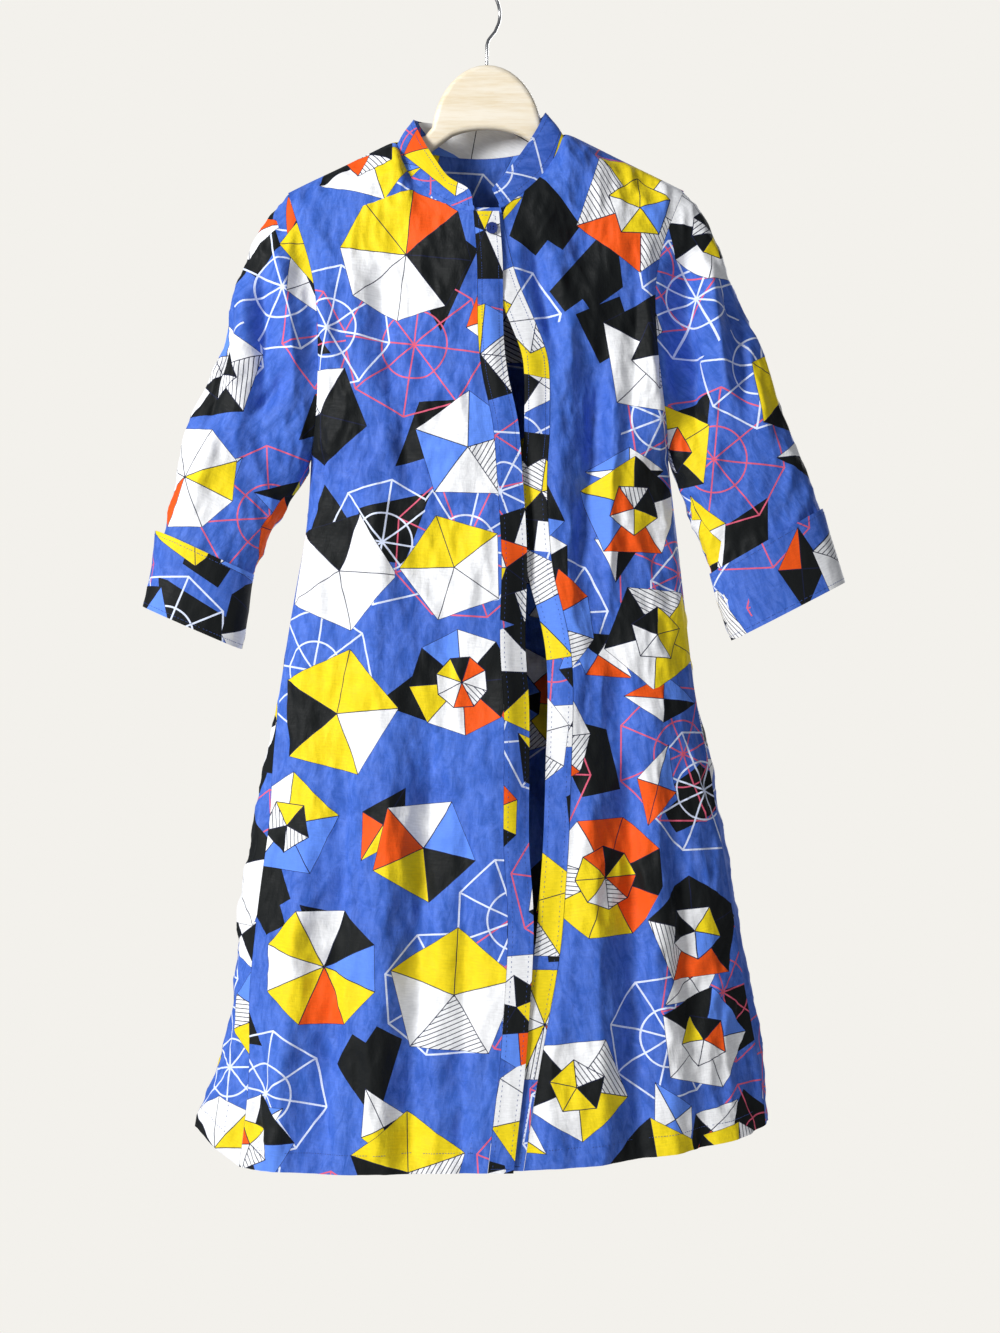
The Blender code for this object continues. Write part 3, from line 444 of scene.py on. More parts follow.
def weaveSteps(depth):
    bands = {"Scale": weave["waveBand"] / weave["thread"], "Distortion": 1.2, "Detail": 1.0}
    return [
        # threads: two crossed wave bands, with slubs where the yarn is uneven
        ("warp", "TexWave", {"bands_direction": "X"}, "cloth", bands),
        ("weft", "TexWave", {"bands_direction": "Y"}, "cloth", bands),
        ("crossed", "ADD", "warp.Fac", "weft.Fac"),
        ("slubPlace", "VectorMath", "MULTIPLY", "cloth", perMetre(weave["slub"])),
        ("slub", "TexNoise", {}, "slubPlace", {"Scale": 1.0, "Detail": 2.0}),
        ("fade", "MapRange", {}, "slub.Fac", 0.3, 0.7, *weave["fade"]),
        ("tint", "VectorMath", "SCALE", "printed", {"Scale": "fade"}),
        ("rough", "MapRange", {}, "slub.Fac", 0.3, 0.7, *weave["roughness"]),
        # soft handling wrinkles, longer down the cloth than across
        ("bendPlace", "VectorMath", "MULTIPLY", "cloth", perMetre(weave["wrinkle"])),
        ("bend", "TexNoise", {}, "bendPlace", {"Scale": 1.0, "Detail": 6.0, "Roughness": 0.58}),
        ("wrinkled", "Bump", {}, {"Strength": 1.0, "Distance": depth, "Height": "bend.Fac"}),
        ("woven", "Bump", {}, {"Strength": 0.35, "Distance": weave["threadDepth"],
                               "Height": "crossed", "Normal": "wrinkled"}),
    ]


def waxPrintCotton(name, wrinkle, sheen):
    place = [("cloth", "UVMap", {"uv_map": "clothPlace"})]
    steps = (place + wheelSteps("coral") + wheelSteps("wheel") + shardSteps() + diamondSteps()
             + gemSteps() + hatchSteps() + layerSteps() + weaveSteps(wrinkle))
    material = newMaterial(name, steps, {
        "Base Color": "tint", "Roughness": "rough", "Normal": "woven", "IOR": 1.5,
        "Specular IOR Level": weave["specular"], "Sheen Weight": sheen,
        "Sheen Roughness": weave["sheenRoughness"], "Sheen Tint": weave["sheenTint"],
    })
    for node in material.node_tree.nodes:
        if node.type == "VALTORGB":
            ramp = node.color_ramp
            ramp.interpolation = "CONSTANT"
            while len(ramp.elements) < len(clothPrint["facets"]):
                ramp.elements.new(0.5)
            for stop, (share, colour) in zip(ramp.elements, clothPrint["facets"]):
                stop.position = share
                stop.color = toLinear(colour)
    return material


# Mercerised cotton sewing thread: two twisted plies with a soft shine, dyed to match the ground.
sewingThread = {"blue": "#35539F", "deep": "#263F80", "twist": 0.7 * mm, "relief": 0.05 * mm,
                "roughness": 0.6, "sheen": 0.1, "specular": 0.3}


def cottonThread():
    return newMaterial("mercerisedThread", [
        ("own", "TexCoord", {}),
        ("plies", "TexNoise", {}, "own.Object",
         {"Scale": 1 / sewingThread["twist"], "Detail": 1.0}),
        ("colour", "Mix", rgba, "plies", toLinear(sewingThread["blue"]),
         toLinear(sewingThread["deep"])),
        ("lift", "Bump", {},
         {"Strength": 0.5, "Distance": sewingThread["relief"], "Height": "plies"}),
    ], {
        "Base Color": "colour", "Normal": "lift", "IOR": 1.5,
        "Roughness": sewingThread["roughness"], "Sheen Weight": sewingThread["sheen"],
        "Specular IOR Level": sewingThread["specular"],
    })


bodyCotton = waxPrintCotton("waxPrintCotton", wrinkle=5.0 * mm, sheen=0.06)
linedCotton = waxPrintCotton("waxPrintCottonInterfaced", wrinkle=2.2 * mm, sheen=0.05)
print("printed cotton:", len(bodyCotton.node_tree.nodes), "nodes")


# cloth from its CAD solid

# Points of a solid within its merge are one, and edges up to rimSlack walls long are its rim's.
# A tube's seam starts low and near the body: aside is how much the way to the side counts.
reading = {"clothMerge": 0.02 * mm, "hardMerge": 0.01 * mm, "rimSlack": 1.06, "aside": 0.2}


def outerGrid(node, wall):
    # the solid's outer sheet alone: its rims are the faces with an edge as short as the wall
    mesh = solidMesh(node, reading["clothMerge"])
    longest = wall * reading["rimSlack"]
    rims = [f for f in mesh.faces if min(e.calc_length() for e in f.edges) < longest]
    bmesh.ops.delete(mesh, geom=rims, context="FACES")
    low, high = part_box(node)
    middle = Vector(((low.x + high.x) / 2, 0, (low.z + high.z) / 2))
    left = set(mesh.faces)
    sheets = []
    while left:
        sheet, todo = [], [left.pop()]
        while todo:
            face = todo.pop()
            sheet.append(face)
            for edge in face.edges:
                for other in edge.link_faces:
                    if other in left:
                        left.remove(other)
                        todo.append(other)
        outward = sum(f.calc_area() * f.normal.dot(f.calc_center_median() - middle) for f in sheet)
        sheets.append((outward, sheet))
    sheets.sort(key=lambda item: item[0])
    inner = [face for _, sheet in sheets[:-1] for face in sheet]
    bmesh.ops.delete(mesh, geom=inner, context="FACES")
    obj = meshObject(mesh, node + "Cloth")
    edit(obj, "SELECT")
    bpy.ops.mesh.tris_convert_to_quads(face_threshold=math.pi, shape_threshold=math.pi)
    leaveEdit()
    return obj


def markTubeSeam(obj):
    # the line along the underside of a tube, from one open end to the other
    mesh = readMesh(obj.data)
    ends = [v for v in mesh.verts if v.is_boundary]
    start = min(ends, key=lambda v: v.co.z + reading["aside"] * abs(v.co.x))
    edge = next(e for e in start.link_edges if not e.is_boundary)
    vert = start
    while edge:
        edge.seam = True
        vert = edge.other_vert(vert)
        beside = set(edge.link_faces)
        onward = [e for e in vert.link_edges if e is not edge and not beside & set(e.link_faces)]
        edge = onward[0] if onward and not vert.is_boundary else None
    mesh.to_mesh(obj.data)
    mesh.free()


def layOnCloth(obj, place, turn):
    # the piece laid flat where it was cut: metres on the printed length, lengthways up
    edit(obj, "SELECT")
    bpy.ops.uv.unwrap(method="ANGLE_BASED", margin=0)
    leaveEdit()
    data = obj.data
    layer = data.uv_layers.active
    layer.name = "clothPlace"
    flat = np.empty(len(data.loops) * 2)
    layer.data.foreach_get("uv", flat)
    flat = flat.reshape(-1, 2)
    at = np.array([data.vertices[loop.vertex_index].co for loop in data.loops])
    area = 0.0
    for face in data.polygons:
        ring = flat[face.loop_start:face.loop_start + face.loop_total]
        after = np.roll(ring, -1, axis=0)
        area += abs((ring[:, 0] * after[:, 1] - ring[:, 1] * after[:, 0]).sum()) / 2
    flat = (flat - flat.mean(axis=0)) * math.sqrt(sum(f.area for f in data.polygons) / area)
    up = (flat * (at[:, 2] - at[:, 2].mean())[:, None]).sum(axis=0)
    lean = math.atan2(up[0], up[1]) + math.radians(turn)
    turned = np.array([[math.cos(lean), math.sin(lean)], [-math.sin(lean), math.cos(lean)]])
    flat = flat @ turned
    size = flat.max(axis=0) - flat.min(axis=0)
    layer.data.foreach_set("uv", (flat + np.array(place)).ravel())
    return size


def pointsAndNormals(data):
    points = np.empty(len(data.vertices) * 3)
    normals = np.empty(len(data.vertices) * 3)
    data.vertices.foreach_get("co", points)
    data.vertices.foreach_get("normal", normals)
    return points.reshape(-1, 3), normals.reshape(-1, 3)


def smoothStep(share):
    share = np.clip(share, 0, 1)
    return share * share * (3 - 2 * share)


def alongRoute(points, route):
    # each point's distance from a crease's line, as it hangs, and its share of the way along
    stops = np.array(route, float) * mm
    lengths = np.linalg.norm(np.diff(stops, axis=0), axis=1)
    nearest = np.full(len(points), np.inf)
    share = np.zeros(len(points))
    gone = 0.0
    for first, second, length in zip(stops, stops[1:], lengths):
        run = ((points - first) @ (second - first)) / length ** 2
        run = np.clip(run, 0, 1)
        away = np.linalg.norm(points - (first + run[:, None] * (second - first)), axis=1)
        closer = away < nearest
        nearest[closer] = away[closer]
        share[closer] = (gone + run[closer] * length) / lengths.sum()
        gone += length
    return nearest, share


# How the cloth is rumpled. A size of wrinkle is its height and its width across and down the
# cloth in mm, noise above crest lifts the cloth, and a lined piece gets a share of it, lined.
# A crease is deepened times what its row says. All fade within edgeFade of a seam, which is
# where the rims of two pieces come within seamReach.
rumple = {
    "sizes": [(4.2, 58, 130), (3.2, 26, 52), (1.5, 12, 20)], "crest": 0.55, "lined": 0.25,
    "deepened": 3.0, "sharpness": 1.6, "seamReach": 4 * mm, "edgeFade": 14 * mm,
    "smoothLevels": 3, "roundedBelow": 50,
}


def pressCreases(obj, creases, held, amount, seed):
    # troughs and ridges pushed along the cloth's own normal, faded at their ends and at seams
    points, normals = pointsAndNormals(obj.data)
    flat = points[:, [0, 2]]
    push = np.zeros(len(points))
    for depth, width, head, foot, side, *route in creases:
        away, share = alongRoute(flat, route)
        shape = np.exp(-(away / (width * mm)) ** rumple["sharpness"])
        ends = smoothStep(share / max(head, 0.01)) * smoothStep((1 - share) / max(foot, 0.01))
        facing = smoothStep(side * normals[:, 1] + 0.5) if side else 1.0
        push += depth * mm * shape * ends * facing
    push *= rumple["deepened"]
    push += amount * handlingWrinkles(points, seed)
    if held:
        push *= smoothStep(heldDistance(points, held) / rumple["edgeFade"])
    points += normals * push[:, None]
    obj.data.vertices.foreach_set("co", points.ravel())
    obj.data.update()


def handlingWrinkles(points, seed):
    # ridged noise in three sizes, drawn out down the cloth: sharp small crests, soft hollows
    rise = np.zeros(len(points))
    for high, across, down in rumple["sizes"]:
        spots = points / (np.array([across, across, down]) * mm) + seed
        ridges = np.array([1 - 2 * abs(noise.noise(Vector(spot))) for spot in spots])
        rise += high * mm * (ridges - rumple["crest"])
    return rise


def heldDistance(points, held):
    tree = kdtree.KDTree(len(held))
    for index, point in enumerate(held):
        tree.insert(point, index)
    tree.balance()
    return np.array([tree.find(point)[2] for point in points])


def rimPoints(data):
    # the points on a sheet's open edges
    counts = np.zeros(len(data.edges), int)
    for face in data.polygons:
        for key in face.loop_indices:
            counts[data.loops[key].edge_index] += 1
    used = {v for edge, count in zip(data.edges, counts) if count == 1 for v in edge.vertices}
    return np.array([data.vertices[v].co for v in sorted(used)])


# a sewn rim's points lie this near to the seam, and run on this far past it
seamLap = {"near": 1 * mm, "reach": 1.2 * mm}


def lapSeam(obj, held):
    # the sewn rim runs on past the seam, as its allowance does, so no light shows through
    mesh = readMesh(obj.data)
    rim = [v for v in mesh.verts if v.is_boundary]
    near = heldDistance(np.array([v.co for v in rim]), held) < seamLap["near"]
    moves = []
    for vert, sewn in zip(rim, near):
        inner = [e.other_vert(vert) for e in vert.link_edges if not e.is_boundary]
        if sewn and inner:
            moves.append((vert, (vert.co - inner[0].co).normalized() * seamLap["reach"]))
    for vert, move in moves:
        vert.co += move
    mesh.to_mesh(obj.data)
    mesh.free()


# A seam sewn with the machine's usual straight stitch in blue cotton thread, a little sunk.
# share is how much of the pitch the thread lies on top, and proud how far its middle is off the
# cloth, in its own thickness. A place nearer to an edge than nearest of the inset, as at a
# corner, gets none, nor does one where the cloth would pull it to more than longest.
topstitch = {
    "thread": 0.5 * mm, "pitch": 2.8 * mm, "share": 0.76, "proud": 0.15, "nearest": 0.85,
    "longest": 1.1,
}
# one stitch, in shares of its length and thickness: its straight middle, then its drawn-in ends
stitchForm = {"sides": 6, "straight": 0.6, "end": 0.2, "drop": 0.35, "drawnIn": 0.5}


def oneStitch():
    # a short round of thread along X, its ends drawn in where it goes into the cloth
    stitch = newForm("cylinder", vertices=stitchForm["sides"], radius=0.5,
                     depth=stitchForm["straight"], rotation=(0, math.pi / 2, 0))
    bpy.ops.object.transform_apply(location=True, rotation=True, scale=True)
    for side in (-1, 1):
        edit(stitch, "DESELECT")
        selectFacing(stitch, Vector((side, 0, 0)))
        bpy.ops.mesh.extrude_region_move(TRANSFORM_OT_translate={
            "value": (stitchForm["end"] * side, 0, -stitchForm["drop"])})
        bpy.ops.transform.resize(value=(1, stitchForm["drawnIn"], stitchForm["drawnIn"]))
    leaveEdit()
    corners = np.array([v.co for v in stitch.data.vertices])
    faces = [list(face.vertices) for face in stitch.data.polygons]
    bpy.data.objects.remove(stitch)
    return corners, faces


def sewAlongEdges(obj, name, lowest, highest, inset):
    # stitches a set way in from the piece's own edges, between two heights
    mesh = readMesh(obj.data)
    mesh.normal_update()
    flatLayer = mesh.loops.layers.uv.active
    flat, full, normals, triangles = [], [], [], []
    for face in mesh.faces:
        loops = list(face.loops)
        for second, third in zip(loops[1:], loops[2:]):
            triangles.append(tuple(range(len(flat), len(flat) + 3)))
            for loop in (loops[0], second, third):
                flat.append(Vector((*loop[flatLayer].uv, 0)))
                full.append(loop.vert.co.copy())
            normals.append(face.normal.copy())
    flatTree = bvhtree.BVHTree.FromPolygons(flat, triangles)
    onward = {}
    for edge in mesh.edges:
        if len(edge.link_faces) == 1:
            loop = edge.link_loops[0]
            ends = loop[flatLayer].uv.copy(), loop.link_loop_next[flatLayer].uv.copy()
            height = (edge.verts[0].co.z + edge.verts[1].co.z) / 2
            wanted = lowest * mm < height < highest * mm
            onward[loop.vert.index] = (loop.link_loop_next.vert.index, ends, wanted)
    mesh.free()
    middles = kdtree.KDTree(len(onward))
    for index, (_, ends, _) in enumerate(onward.values()):
        middles.insert(((ends[0] + ends[1]) / 2).to_3d(), index)
    middles.balance()

    def raised(point):
        # where a point of the laid-flat piece is on the hanging one
        spot, _, index, _ = flatTree.find_nearest(point.to_3d())
        corners = [3 * index + corner for corner in range(3)]
        at = geometry.barycentric_transform(
            spot, *[flat[c] for c in corners], *[full[c] for c in corners])
        return at, normals[index]

    stitches = []
    length = topstitch["pitch"] * topstitch["share"]
    while onward:
        vertex, travelled = next(iter(onward)), 0.0
        while vertex in onward:
            vertex, (first, second), wanted = onward.pop(vertex)
            along = second - first
            travelled += along.length
            if not wanted or travelled < topstitch["pitch"]:
                continue
            travelled -= topstitch["pitch"]
            along = along.normalized()
            middle = (first + second) / 2 + Vector((-along.y, along.x)) * inset
            if middles.find(middle.to_3d())[2] < topstitch["nearest"] * inset:
                continue
            half = along * topstitch["pitch"] * topstitch["share"] / 2
            (start, normal), (end, _) = raised(middle - half), raised(middle + half)
            if (end - start).length < topstitch["longest"] * length:
                stitches.append((start, end, normal))
    corners, faces = oneStitch()
    allPoints, allFaces = [], []
    for start, end, normal in stitches:
        across = normal.cross(end - start).normalized()
        size = topstitch["thread"]
        turned = np.array([end - start, across * size, normal * size])
        middle = np.array((start + end) / 2 + normal * size * topstitch["proud"])
        allFaces += [[v + len(allPoints) * len(corners) for v in face] for face in faces]
        allPoints.append(corners @ turned + middle)
    data = bpy.data.meshes.new(name)
    data.from_pydata(np.vstack(allPoints).tolist(), [], allFaces)
    row = newObject(name, data)
    bpy.ops.object.shade_smooth()
    return row


def finishCloth(obj, thickness, material):
    modify(obj, "SOLIDIFY", thickness=thickness, offset=-1, use_even_offset=True)
    shadeBelow(rumple["roundedBelow"])
    giveMaterial(obj, material)


# The creases of each piece: depth and half width in mm (less than 0 goes in), the shares of its
# length over which its two ends fade, its side (-1 front, 1 back, 0 both), and its way in x and z.
creases = {}
creases["front_right"] = [
    (-2.6, 13, 0.3, 0.4, 0, (-109, -262), (-103, -350), (-89, -440)),
    (2.2, 12, 0.3, 0.4, 0, (-132, -250), (-128, -330), (-112, -440)),
    (-2.2, 10, 0.4, 0.4, 0, (-146, -280), (-148, -330), (-140, -390)),
    (-2.4, 9, 0.3, 0.5, 0, (-80, -345), (-64, -380), (-52, -415)),
    (-2.8, 12, 0.3, 0.4, 0, (-88, -420), (-78, -480), (-66, -530)),
    (2.0, 14, 0.3, 0.4, 0, (-120, -470), (-104, -560), (-96, -660)),
    (-3.4, 15, 0.4, 0.1, 0, (-50, -640), (-56, -800), (-66, -960), (-74, -1180)),
    (3.0, 17, 0.4, 0.1, 0, (-84, -660), (-96, -820), (-108, -1180)),
    (-3.0, 14, 0.4, 0.1, 0, (-16, -690), (-22, -860), (-26, -1180)),
    (-3.6, 16, 0.5, 0.1, 0, (-128, -700), (-146, -900), (-168, -1180)),
    (2.8, 14, 0.4, 0.1, 0, (-160, -760), (-186, -940), (-212, -1180)),
]
creases["front_left"] = [
    (-3.0, 11, 0.3, 0.4, 0, (42, -240), (60, -330), (52, -380)),
    (2.4, 11, 0.3, 0.4, 0, (66, -250), (80, -340), (84, -430)),
    (-3.4, 10, 0.3, 0.4, 0, (110, -330), (108, -440), (97, -560), (94, -650)),
    (3.0, 9, 0.3, 0.4, 0, (126, -370), (122, -500), (118, -660)),
    (-2.2, 10, 0.3, 0.4, 0, (150, -260), (146, -360), (140, -470)),
    (-2.8, 13, 0.3, 0.1, 0, (128, -640), (140, -860), (150, -1180)),
    (3.0, 15, 0.4, 0.1, 0, (96, -700), (104, -900), (112, -1180)),
    (-3.4, 14, 0.4, 0.1, 0, (176, -740), (196, -930), (216, -1180)),
    (2.4, 12, 0.4, 0.1, 0, (60, -840), (62, -1000), (66, -1180)),
]
creases["back"] = [
    (-2.8, 14, 0.3, 0.4, 0, (-120, -240), (-112, -340), (-96, -450)),
    (2.4, 14, 0.3, 0.4, 0, (-92, -250), (-84, -360), (-72, -470)),
    (-2.4, 12, 0.3, 0.4, 0, (104, -250), (98, -360), (86, -470)),
    (2.6, 13, 0.3, 0.4, 0, (132, -270), (124, -380), (112, -490)),
    (-2.2, 12, 0.4, 0.4, 0, (8, -260), (4, -380), (-6, -520)),
    (-3.6, 17, 0.4, 0.1, 0, (-40, -560), (-52, -800), (-70, -1180)),
    (3.4, 19, 0.4, 0.1, 0, (4, -600), (2, -840), (-6, -1180)),
    (-3.8, 17, 0.4, 0.1, 0, (56, -560), (66, -820), (82, -1180)),
    (3.2, 16, 0.4, 0.1, 0, (104, -640), (122, -880), (142, -1180)),
    (-3.2, 15, 0.4, 0.1, 0, (140, -680), (168, -900), (196, -1180)),
    (3.0, 16, 0.4, 0.1, 0, (-96, -640), (-122, -880), (-150, -1180)),
    (-3.4, 15, 0.4, 0.1, 0, (-146, -700), (-180, -920), (-214, -1180)),
]
creases["sleeve_right"] = [
    (4.6, 12, 0.2, 0.35, -1, (-212, -246), (-199, -300), (-192, -350), (-196, -440)),
    (-4.0, 11, 0.3, 0.4, -1, (-226, -280), (-220, -350), (-226, -440)),
    (2.6, 11, 0.3, 0.4, -1, (-232, -270), (-246, -360), (-258, -440)),
    (-3.0, 9, 0.3, 0.4, -1, (-250, -310), (-272, -390), (-284, -470)),
    (-3.2, 8, 0.3, 0.4, -1, (-186, -370), (-214, -410), (-250, -436)),
    (2.4, 10, 0.3, 0.4, -1, (-262, -430), (-282, -490), (-292, -540)),
    (-4.0, 12, 0.3, 0.4, 1, (-180, -270), (-204, -360), (-222, -450)),
    (3.0, 12, 0.3, 0.4, 1, (-212, -280), (-240, -380), (-262, -470)),
    (-2.8, 11, 0.3, 0.4, 1, (-246, -320), (-270, -400), (-290, -500)),
]
creases["sleeve_left"] = [
    (-7.0, 15, 0.2, 0.3, -1, (196, -256), (196, -330), (199, -400), (212, -480)),
    (4.4, 10, 0.3, 0.4, -1, (216, -256), (226, -340), (238, -430)),
    (-3.4, 9, 0.3, 0.4, -1, (226, -270), (250, -350), (262, -450)),
    (-3.0, 9, 0.3, 0.4, -1, (190, -340), (216, -400), (250, -430)),
    (2.6, 10, 0.3, 0.4, -1, (246, -320), (270, -410), (286, -490)),
    (-4.0, 12, 0.3, 0.4, 1, (186, -270), (206, -360), (226, -450)),
    (3.0, 12, 0.3, 0.4, 1, (216, -280), (242, -380), (264, -470)),
    (-2.8, 11, 0.3, 0.4, 1, (250, -320), (274, -400), (292, -500)),
]
creases["band_right"] = [
    (-2.6, 15, 0.25, 0.3, -1, (35, -500), (40, -640), (43, -760), (45, -940)),
    (-1.2, 12, 0.4, 0.4, -1, (16, -270), (18, -340), (22, -400)),
    (0.8, 14, 0.4, 0.4, -1, (4, -300), (10, -400), (20, -480)),
]
creases["band_left"] = [
    (-1.6, 14, 0.3, 0.3, -1, (36, -420), (38, -540), (56, -650), (60, -760), (54, -860)),
    (0.9, 12, 0.3, 0.4, -1, (34, -340), (46, -400), (50, -470)),
]

# The dress's pieces. wall and thick are its solid's wall and its own in mm, place and turn
# where on the printed cloth it was cut, in metres and degrees, and flat and area its cut with its
# seams. The edges between the first two heights of its hem are topstitched, the third in from
# them, all in mm. The wrinkles start from seed. A lined piece is two layers and interfacing.
single = {"lined": False, "wall": 1.3, "thick": 0.7}
double = {"lined": True, "wall": 2.2, "thick": 1.4, "hem": (-1200, -100, 4.2)}
dress = {
    "front_right": {
        **single, "hem": (-1200, -1130, 19.0), "place": (0.65, 2.68), "turn": 4, "seed": 77,
        "flat": (0.32, 1.07), "area": 0.25, "rests": ["hanger"],
    },
    "front_left": {
        **single, "hem": (-1200, -1130, 19.0), "place": (2.69, 1.90), "turn": -3, "seed": 70,
        "flat": (0.32, 1.06), "area": 0.20, "rests": ["hanger"],
    },
    "back": {
        **single, "hem": (-1200, -1105, 19.0), "place": (0.80, 2.01), "turn": 2, "seed": 28,
        "flat": (0.745, 1.08), "area": 0.54, "rests": ["hanger"],
    },
    "sleeve_right": {
        **single, "place": (1.56, 2.20), "turn": 12, "seed": 84,
        "flat": (0.345, 0.49), "area": 0.115, "rests": ["front_right", "back"],
    },
    "sleeve_left": {
        **single, "place": (2.83, 2.97), "turn": -10, "seed": 77,
        "flat": (0.35, 0.475), "area": 0.116, "rests": ["front_left", "back"],
    },
    "band_right": {
        **double, "place": (1.46, 1.1), "turn": 0, "seed": 70,
        "flat": (0.06, 0.94), "area": 0.024, "rests": ["front_right"],
    },
    "band_left": {
        **double, "place": (1.9, 1.3), "turn": 0, "seed": 63,
        "flat": (0.06, 0.945), "area": 0.024, "rests": ["front_left"],
    },
    "collar": {
        **double, "thick": 1.6, "place": (2.19, 1.16), "turn": 90, "seed": 42,
        "flat": (0.38, 0.04), "area": 0.0115, "rests": ["front_right", "front_left", "back"],
    },
    "cuff_right": {
        **double, "place": (1.3, 2.5), "turn": 8, "seed": 70,
        "flat": (0.28, 0.085), "area": 0.0215, "rests": ["sleeve_right"],
    },
    "cuff_left": {
        **double, "place": (1.74, 2.3), "turn": -6, "seed": 63,
        "flat": (0.30, 0.09), "area": 0.0235, "rests": ["sleeve_left"],
    },
}
tubes = ("sleeve_right", "sleeve_left", "cuff_right", "cuff_left")

cloths = {}
for node, cut in dress.items():
    cloth = outerGrid(node, cut["wall"] * mm)
    if node in tubes:
        markTubeSeam(cloth)
    size = layOnCloth(cloth, cut["place"], cut["turn"])
    print(node, "laid flat, in metres:", np.round(size, 3))
    modify(cloth, "SUBSURF", levels=rumple["smoothLevels"], render_levels=rumple["smoothLevels"],
           boundary_smooth="PRESERVE_CORNERS")
    cloths[node] = cloth

thread = cottonThread()
rows = {}
rims = {node: rimPoints(cloth.data) for node, cloth in cloths.items()}
for node, cut in dress.items():
    others = np.vstack([points for name, points in rims.items() if name != node])
    held = rims[node][heldDistance(rims[node], others) < rumple["seamReach"]]
    amount = rumple["lined"] if cut["lined"] else 1.0
    pressCreases(cloths[node], creases.get(node, []), list(held), amount, cut["seed"])
    if node == "collar":
        lapSeam(cloths[node], held)
    if "hem" in cut:
        lowest, highest, inset = cut["hem"]
        rows[node] = sewAlongEdges(cloths[node], node + "Stitches", lowest, highest, inset * mm)
        giveMaterial(rows[node], thread)
    finishCloth(cloths[node], cut["thick"] * mm, linedCotton if cut["lined"] else bodyCotton)
print("cloth pressed, folded and sewn:", len(rows), "rows of stitches")

for node, cut in dress.items():
    piece = cloths[node]
    sewn = [rows[node]] if node in rows else []
    for made in [piece] + sewn:
        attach(made, "root")
    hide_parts(node)
print("cloth declared")


# the hanger, its hook and the button

# Birch, sawn, sanded and clear lacquered: pale cream, fine straight grain along the arms,
# a soft satin shine. drawn is how much longer the grain is than it is wide.
birchBoard = {
    "pale": "#F8EFDC", "grain": "#E9D7B4", "grainWidth": 2.2 * mm, "figureWidth": 26 * mm,
    "drawn": 0.08, "darkened": (0.16, 0.40), "relief": 0.05 * mm, "coat": 0.12,
    "coatRoughness": 0.25, "smooth": 0.37, "rough": 0.50, "roundedBelow": 35,
}


def birchWood():
    return newMaterial("lacqueredBirch", [
        ("own", "TexCoord", {}),
        ("along", "Mapping", {}, "own.Object", {"Scale": (birchBoard["drawn"], 1.0, 1.0)}),
        ("grain", "TexNoise", {}, "along",
         {"Scale": 1 / birchBoard["grainWidth"], "Detail": 4.0, "Roughness": 0.6}),
        ("figure", "TexNoise", {}, "along",
         {"Scale": 1 / birchBoard["figureWidth"], "Detail": 2.0}),
        ("both", "MULTIPLY", "grain", "figure"),
        ("share", "MapRange", {}, "both", *birchBoard["darkened"], 0.0, 1.0),
        ("colour", "Mix", rgba, "share", toLinear(birchBoard["pale"]),
         toLinear(birchBoard["grain"])),
        ("worn", "MapRange", {}, "grain", 0.3, 0.7, birchBoard["smooth"], birchBoard["rough"]),
        ("lift", "Bump", {},
         {"Strength": 0.4, "Distance": birchBoard["relief"], "Height": "grain"}),
    ], {
        "Base Color": "colour", "Roughness": "worn", "Normal": "lift", "IOR": 1.5,
        "Coat Weight": birchBoard["coat"], "Coat Roughness": birchBoard["coatRoughness"],
    })


# Bright drawn steel wire: near-white, faint drawing lines along it, clear reflections.
hookWire = {"steel": "#C9CACB", "lineWidth": 0.5 * mm, "smooth": 0.17, "rough": 0.30,
            "roundedBelow": 60}


def drawnSteel():
    return newMaterial("brightSteelWire", [
        ("own", "TexCoord", {}),
        ("lines", "TexNoise", {}, "own.Object",
         {"Scale": 1 / hookWire["lineWidth"], "Detail": 2.0}),
        ("drawn", "MapRange", {}, "lines", 0.3, 0.7, hookWire["smooth"], hookWire["rough"]),
    ], {"Base Color": toLinear(hookWire["steel"]), "Metallic": 1.0, "Roughness": "drawn"})


# Polyester resin button, cast and polished: deep navy with a glossy top. Its rim slopes down
# over the lip to the dish. A loop of thread joins two holes, in shares of the button's thickness.
resinButton = {
    "across": 11.5 * mm, "thick": 2.4 * mm, "rim": 1.2 * mm, "lip": 0.5 * mm,
    "dish": 0.5 * mm, "soft": 0.35 * mm, "softSteps": 3, "softAbove": 28, "roundedBelow": 35,
    "sides": 64, "hole": 1.5 * mm, "holeGap": 2.5 * mm, "holeSides": 20,
    "thread": 0.28 * mm, "threadSunk": 0.1, "threadTall": 0.5, "threadRound": 28,
    "threadSides": 8,
    "navy": "#1E2C66", "swirl": "#2C3E86", "swirlWidth": 4 * mm, "roughness": 0.16,
}


def castResin():
    return newMaterial("polishedResin", [
        ("own", "TexCoord", {}),
        ("swirl", "TexNoise", {}, "own.Object",
         {"Scale": 1 / resinButton["swirlWidth"], "Distortion": 1.5}),
        ("colour", "Mix", rgba, "swirl", toLinear(resinButton["navy"]),
         toLinear(resinButton["swirl"])),
    ], {"Base Color": "colour", "Roughness": resinButton["roughness"], "IOR": 1.55})


def smoothed(node, name, angle, material):
    # the same form, its facets joined to shade smoothly over the rounded edges
    obj = meshObject(solidMesh(node, reading["hardMerge"]), name)
    shadeBelow(angle)
    modify(obj, "WEIGHTED_NORMAL", keep_sharp=True)
    giveMaterial(obj, material)
    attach(obj, "root")
    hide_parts(node)


smoothed("hanger", "hangerWood", birchBoard["roundedBelow"], birchWood())
smoothed("hook", "hookSteel", hookWire["roundedBelow"], drawnSteel())


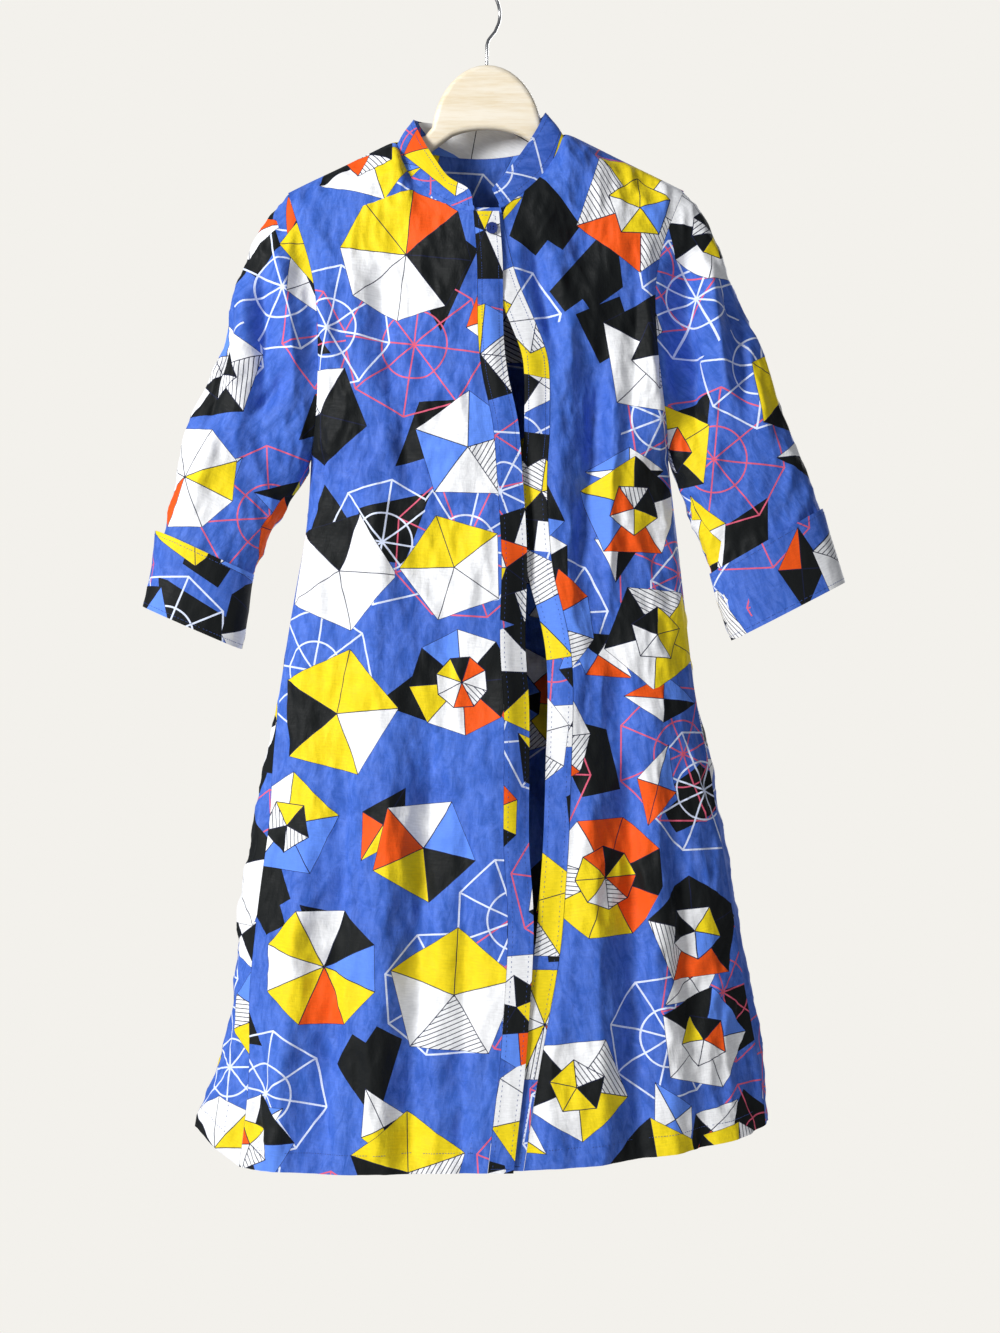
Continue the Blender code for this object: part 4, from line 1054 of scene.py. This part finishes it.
def sewnButton():
    # a dished disc with four holes, tilted as the band is, and its two loops of thread
    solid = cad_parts["button"]
    widest = max(solid.data.polygons, key=lambda face: face.area)
    outward = widest.normal if widest.normal.y < 0 else -widest.normal
    low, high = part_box("button")
    wide, thick = resinButton["across"], resinButton["thick"]
    button = newForm("cylinder", vertices=resinButton["sides"], radius=wide / 2, depth=thick)
    button.name = "resinButton"
    edit(button, "DESELECT")
    selectFacing(button, Vector((0, 0, 1)))
    bpy.ops.mesh.inset(thickness=resinButton["rim"], depth=0)
    bpy.ops.mesh.inset(thickness=resinButton["lip"], depth=-resinButton["dish"])
    leaveEdit()
    modify(button, "BEVEL", width=resinButton["soft"], segments=resinButton["softSteps"],
           limit_method="ANGLE", angle_limit=math.radians(resinButton["softAbove"]))
    gap = resinButton["holeGap"] / 2
    for x in (-gap, gap):
        for y in (-gap, gap):
            drill = newForm("cylinder", vertices=resinButton["holeSides"], depth=4 * thick,
                            radius=resinButton["hole"] / 2, location=(x, y, 0))
            modify(button, "BOOLEAN", operation="DIFFERENCE", solver="EXACT", object=drill)
            bpy.data.objects.remove(drill)
    shadeBelow(resinButton["roundedBelow"])
    loops = []
    for y in (-gap, gap):
        loops.append(newForm(
            "torus", location=(0, y, -resinButton["threadSunk"] * thick),
            rotation=(math.pi / 2, 0, 0), major_segments=resinButton["threadRound"],
            minor_segments=resinButton["threadSides"], major_radius=gap,
            minor_radius=resinButton["thread"]))
        bpy.ops.object.transform_apply(location=True, rotation=True, scale=True)
        edit(loops[-1], "SELECT")
        bpy.ops.transform.resize(value=(1, 1, resinButton["threadTall"] * thick / gap))
        leaveEdit()
        bpy.ops.object.shade_smooth()
    deselectAll()
    for loop in loops:
        loop.select_set(True)
    bpy.context.view_layer.objects.active = loops[0]
    bpy.ops.object.join()
    loops = bpy.context.object
    loops.name = "buttonThread"
    tilt = outward.to_track_quat("Z", "Y").to_matrix().to_4x4()
    seat = Matrix.Translation((low + high) / 2) @ tilt
    for made in (button, loops):
        made.data.transform(seat @ made.matrix_world)
        made.matrix_world = Matrix()
        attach(made, "root")
    giveMaterial(button, castResin())
    giveMaterial(loops, thread)
    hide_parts("button")


sewnButton()
print("hanger, hook and button dressed")


# floor, light and camera

room = {
    "air": "#F3F1EC", "airSeen": 1.0, "airGlow": "#F4F7FF", "airLight": 0.19,
    "floor": "#F4F2EE", "floorBelow": -1.9, "floorRadius": 1.9, "floorSides": 96,
    "mottle": 6.0, "matt": (0.75, 0.85),
}
lamps = {
    "windowLight": {"at": (-2.5, -2.1, 0.5), "aim": (0, 0, -0.6), "size": 0.9, "watts": 136},
    "fillLight": {"at": (1.6, -2.9, 0.2), "aim": (0, 0, -0.7), "size": 2.0, "watts": 11},
    "backLight": {"at": (1.6, 2.8, 0.6), "aim": (0, 0, -0.6), "size": 2.0, "watts": 60},
}
# the camera stands level with the middle of the dress; lens and sensor in mm
view = {"at": (0.013, -2.4, -0.6755), "lens": 64.8, "sensor": 36}

world = bpy.data.worlds.new("paleRoom")
scene.world = world
world.use_nodes = True
air = world.node_tree
air.nodes.clear()
rays = addNode(air, "LightPath")
glow = addNode(air, "Background", toLinear(room["airGlow"]), room["airLight"])
seen = addNode(air, "Background", toLinear(room["air"]), room["airSeen"])
either = addNode(air, "MixShader", rays.outputs["Is Camera Ray"], glow.outputs[0], seen.outputs[0])
addNode(air, "OutputWorld", either.outputs[0])

floor = newForm("circle", vertices=room["floorSides"], radius=room["floorRadius"],
                fill_type="NGON", location=(0, 0, room["floorBelow"]))
floor.name = "paleFloor"
giveMaterial(floor, newMaterial("mattFloorPaint", [
    ("own", "TexCoord", {}),
    ("mottle", "TexNoise", {}, "own.Object", {"Scale": room["mottle"], "Detail": 4.0}),
    ("matt", "MapRange", {}, "mottle", 0.3, 0.7, *room["matt"]),
], {"Base Color": toLinear(room["floor"]), "Roughness": "matt"}))

for name, lamp in lamps.items():
    light = bpy.data.lights.new(name, "AREA")
    light.size = lamp["size"]
    light.energy = lamp["watts"]
    holder = newObject(name, light)
    holder.location = lamp["at"]
    toward = Vector(lamp["aim"]) - Vector(lamp["at"])
    holder.rotation_euler = toward.to_track_quat("-Z", "Y").to_euler()

eye = bpy.data.cameras.new("camera")
eye.lens = view["lens"]
eye.sensor_width = view["sensor"]
camera = newObject("camera", eye)
camera.location = view["at"]
camera.rotation_euler = (math.radians(90), 0, 0)
scene.camera = camera
scene.view_settings.view_transform = "Standard"
print("floor, light and camera placed")
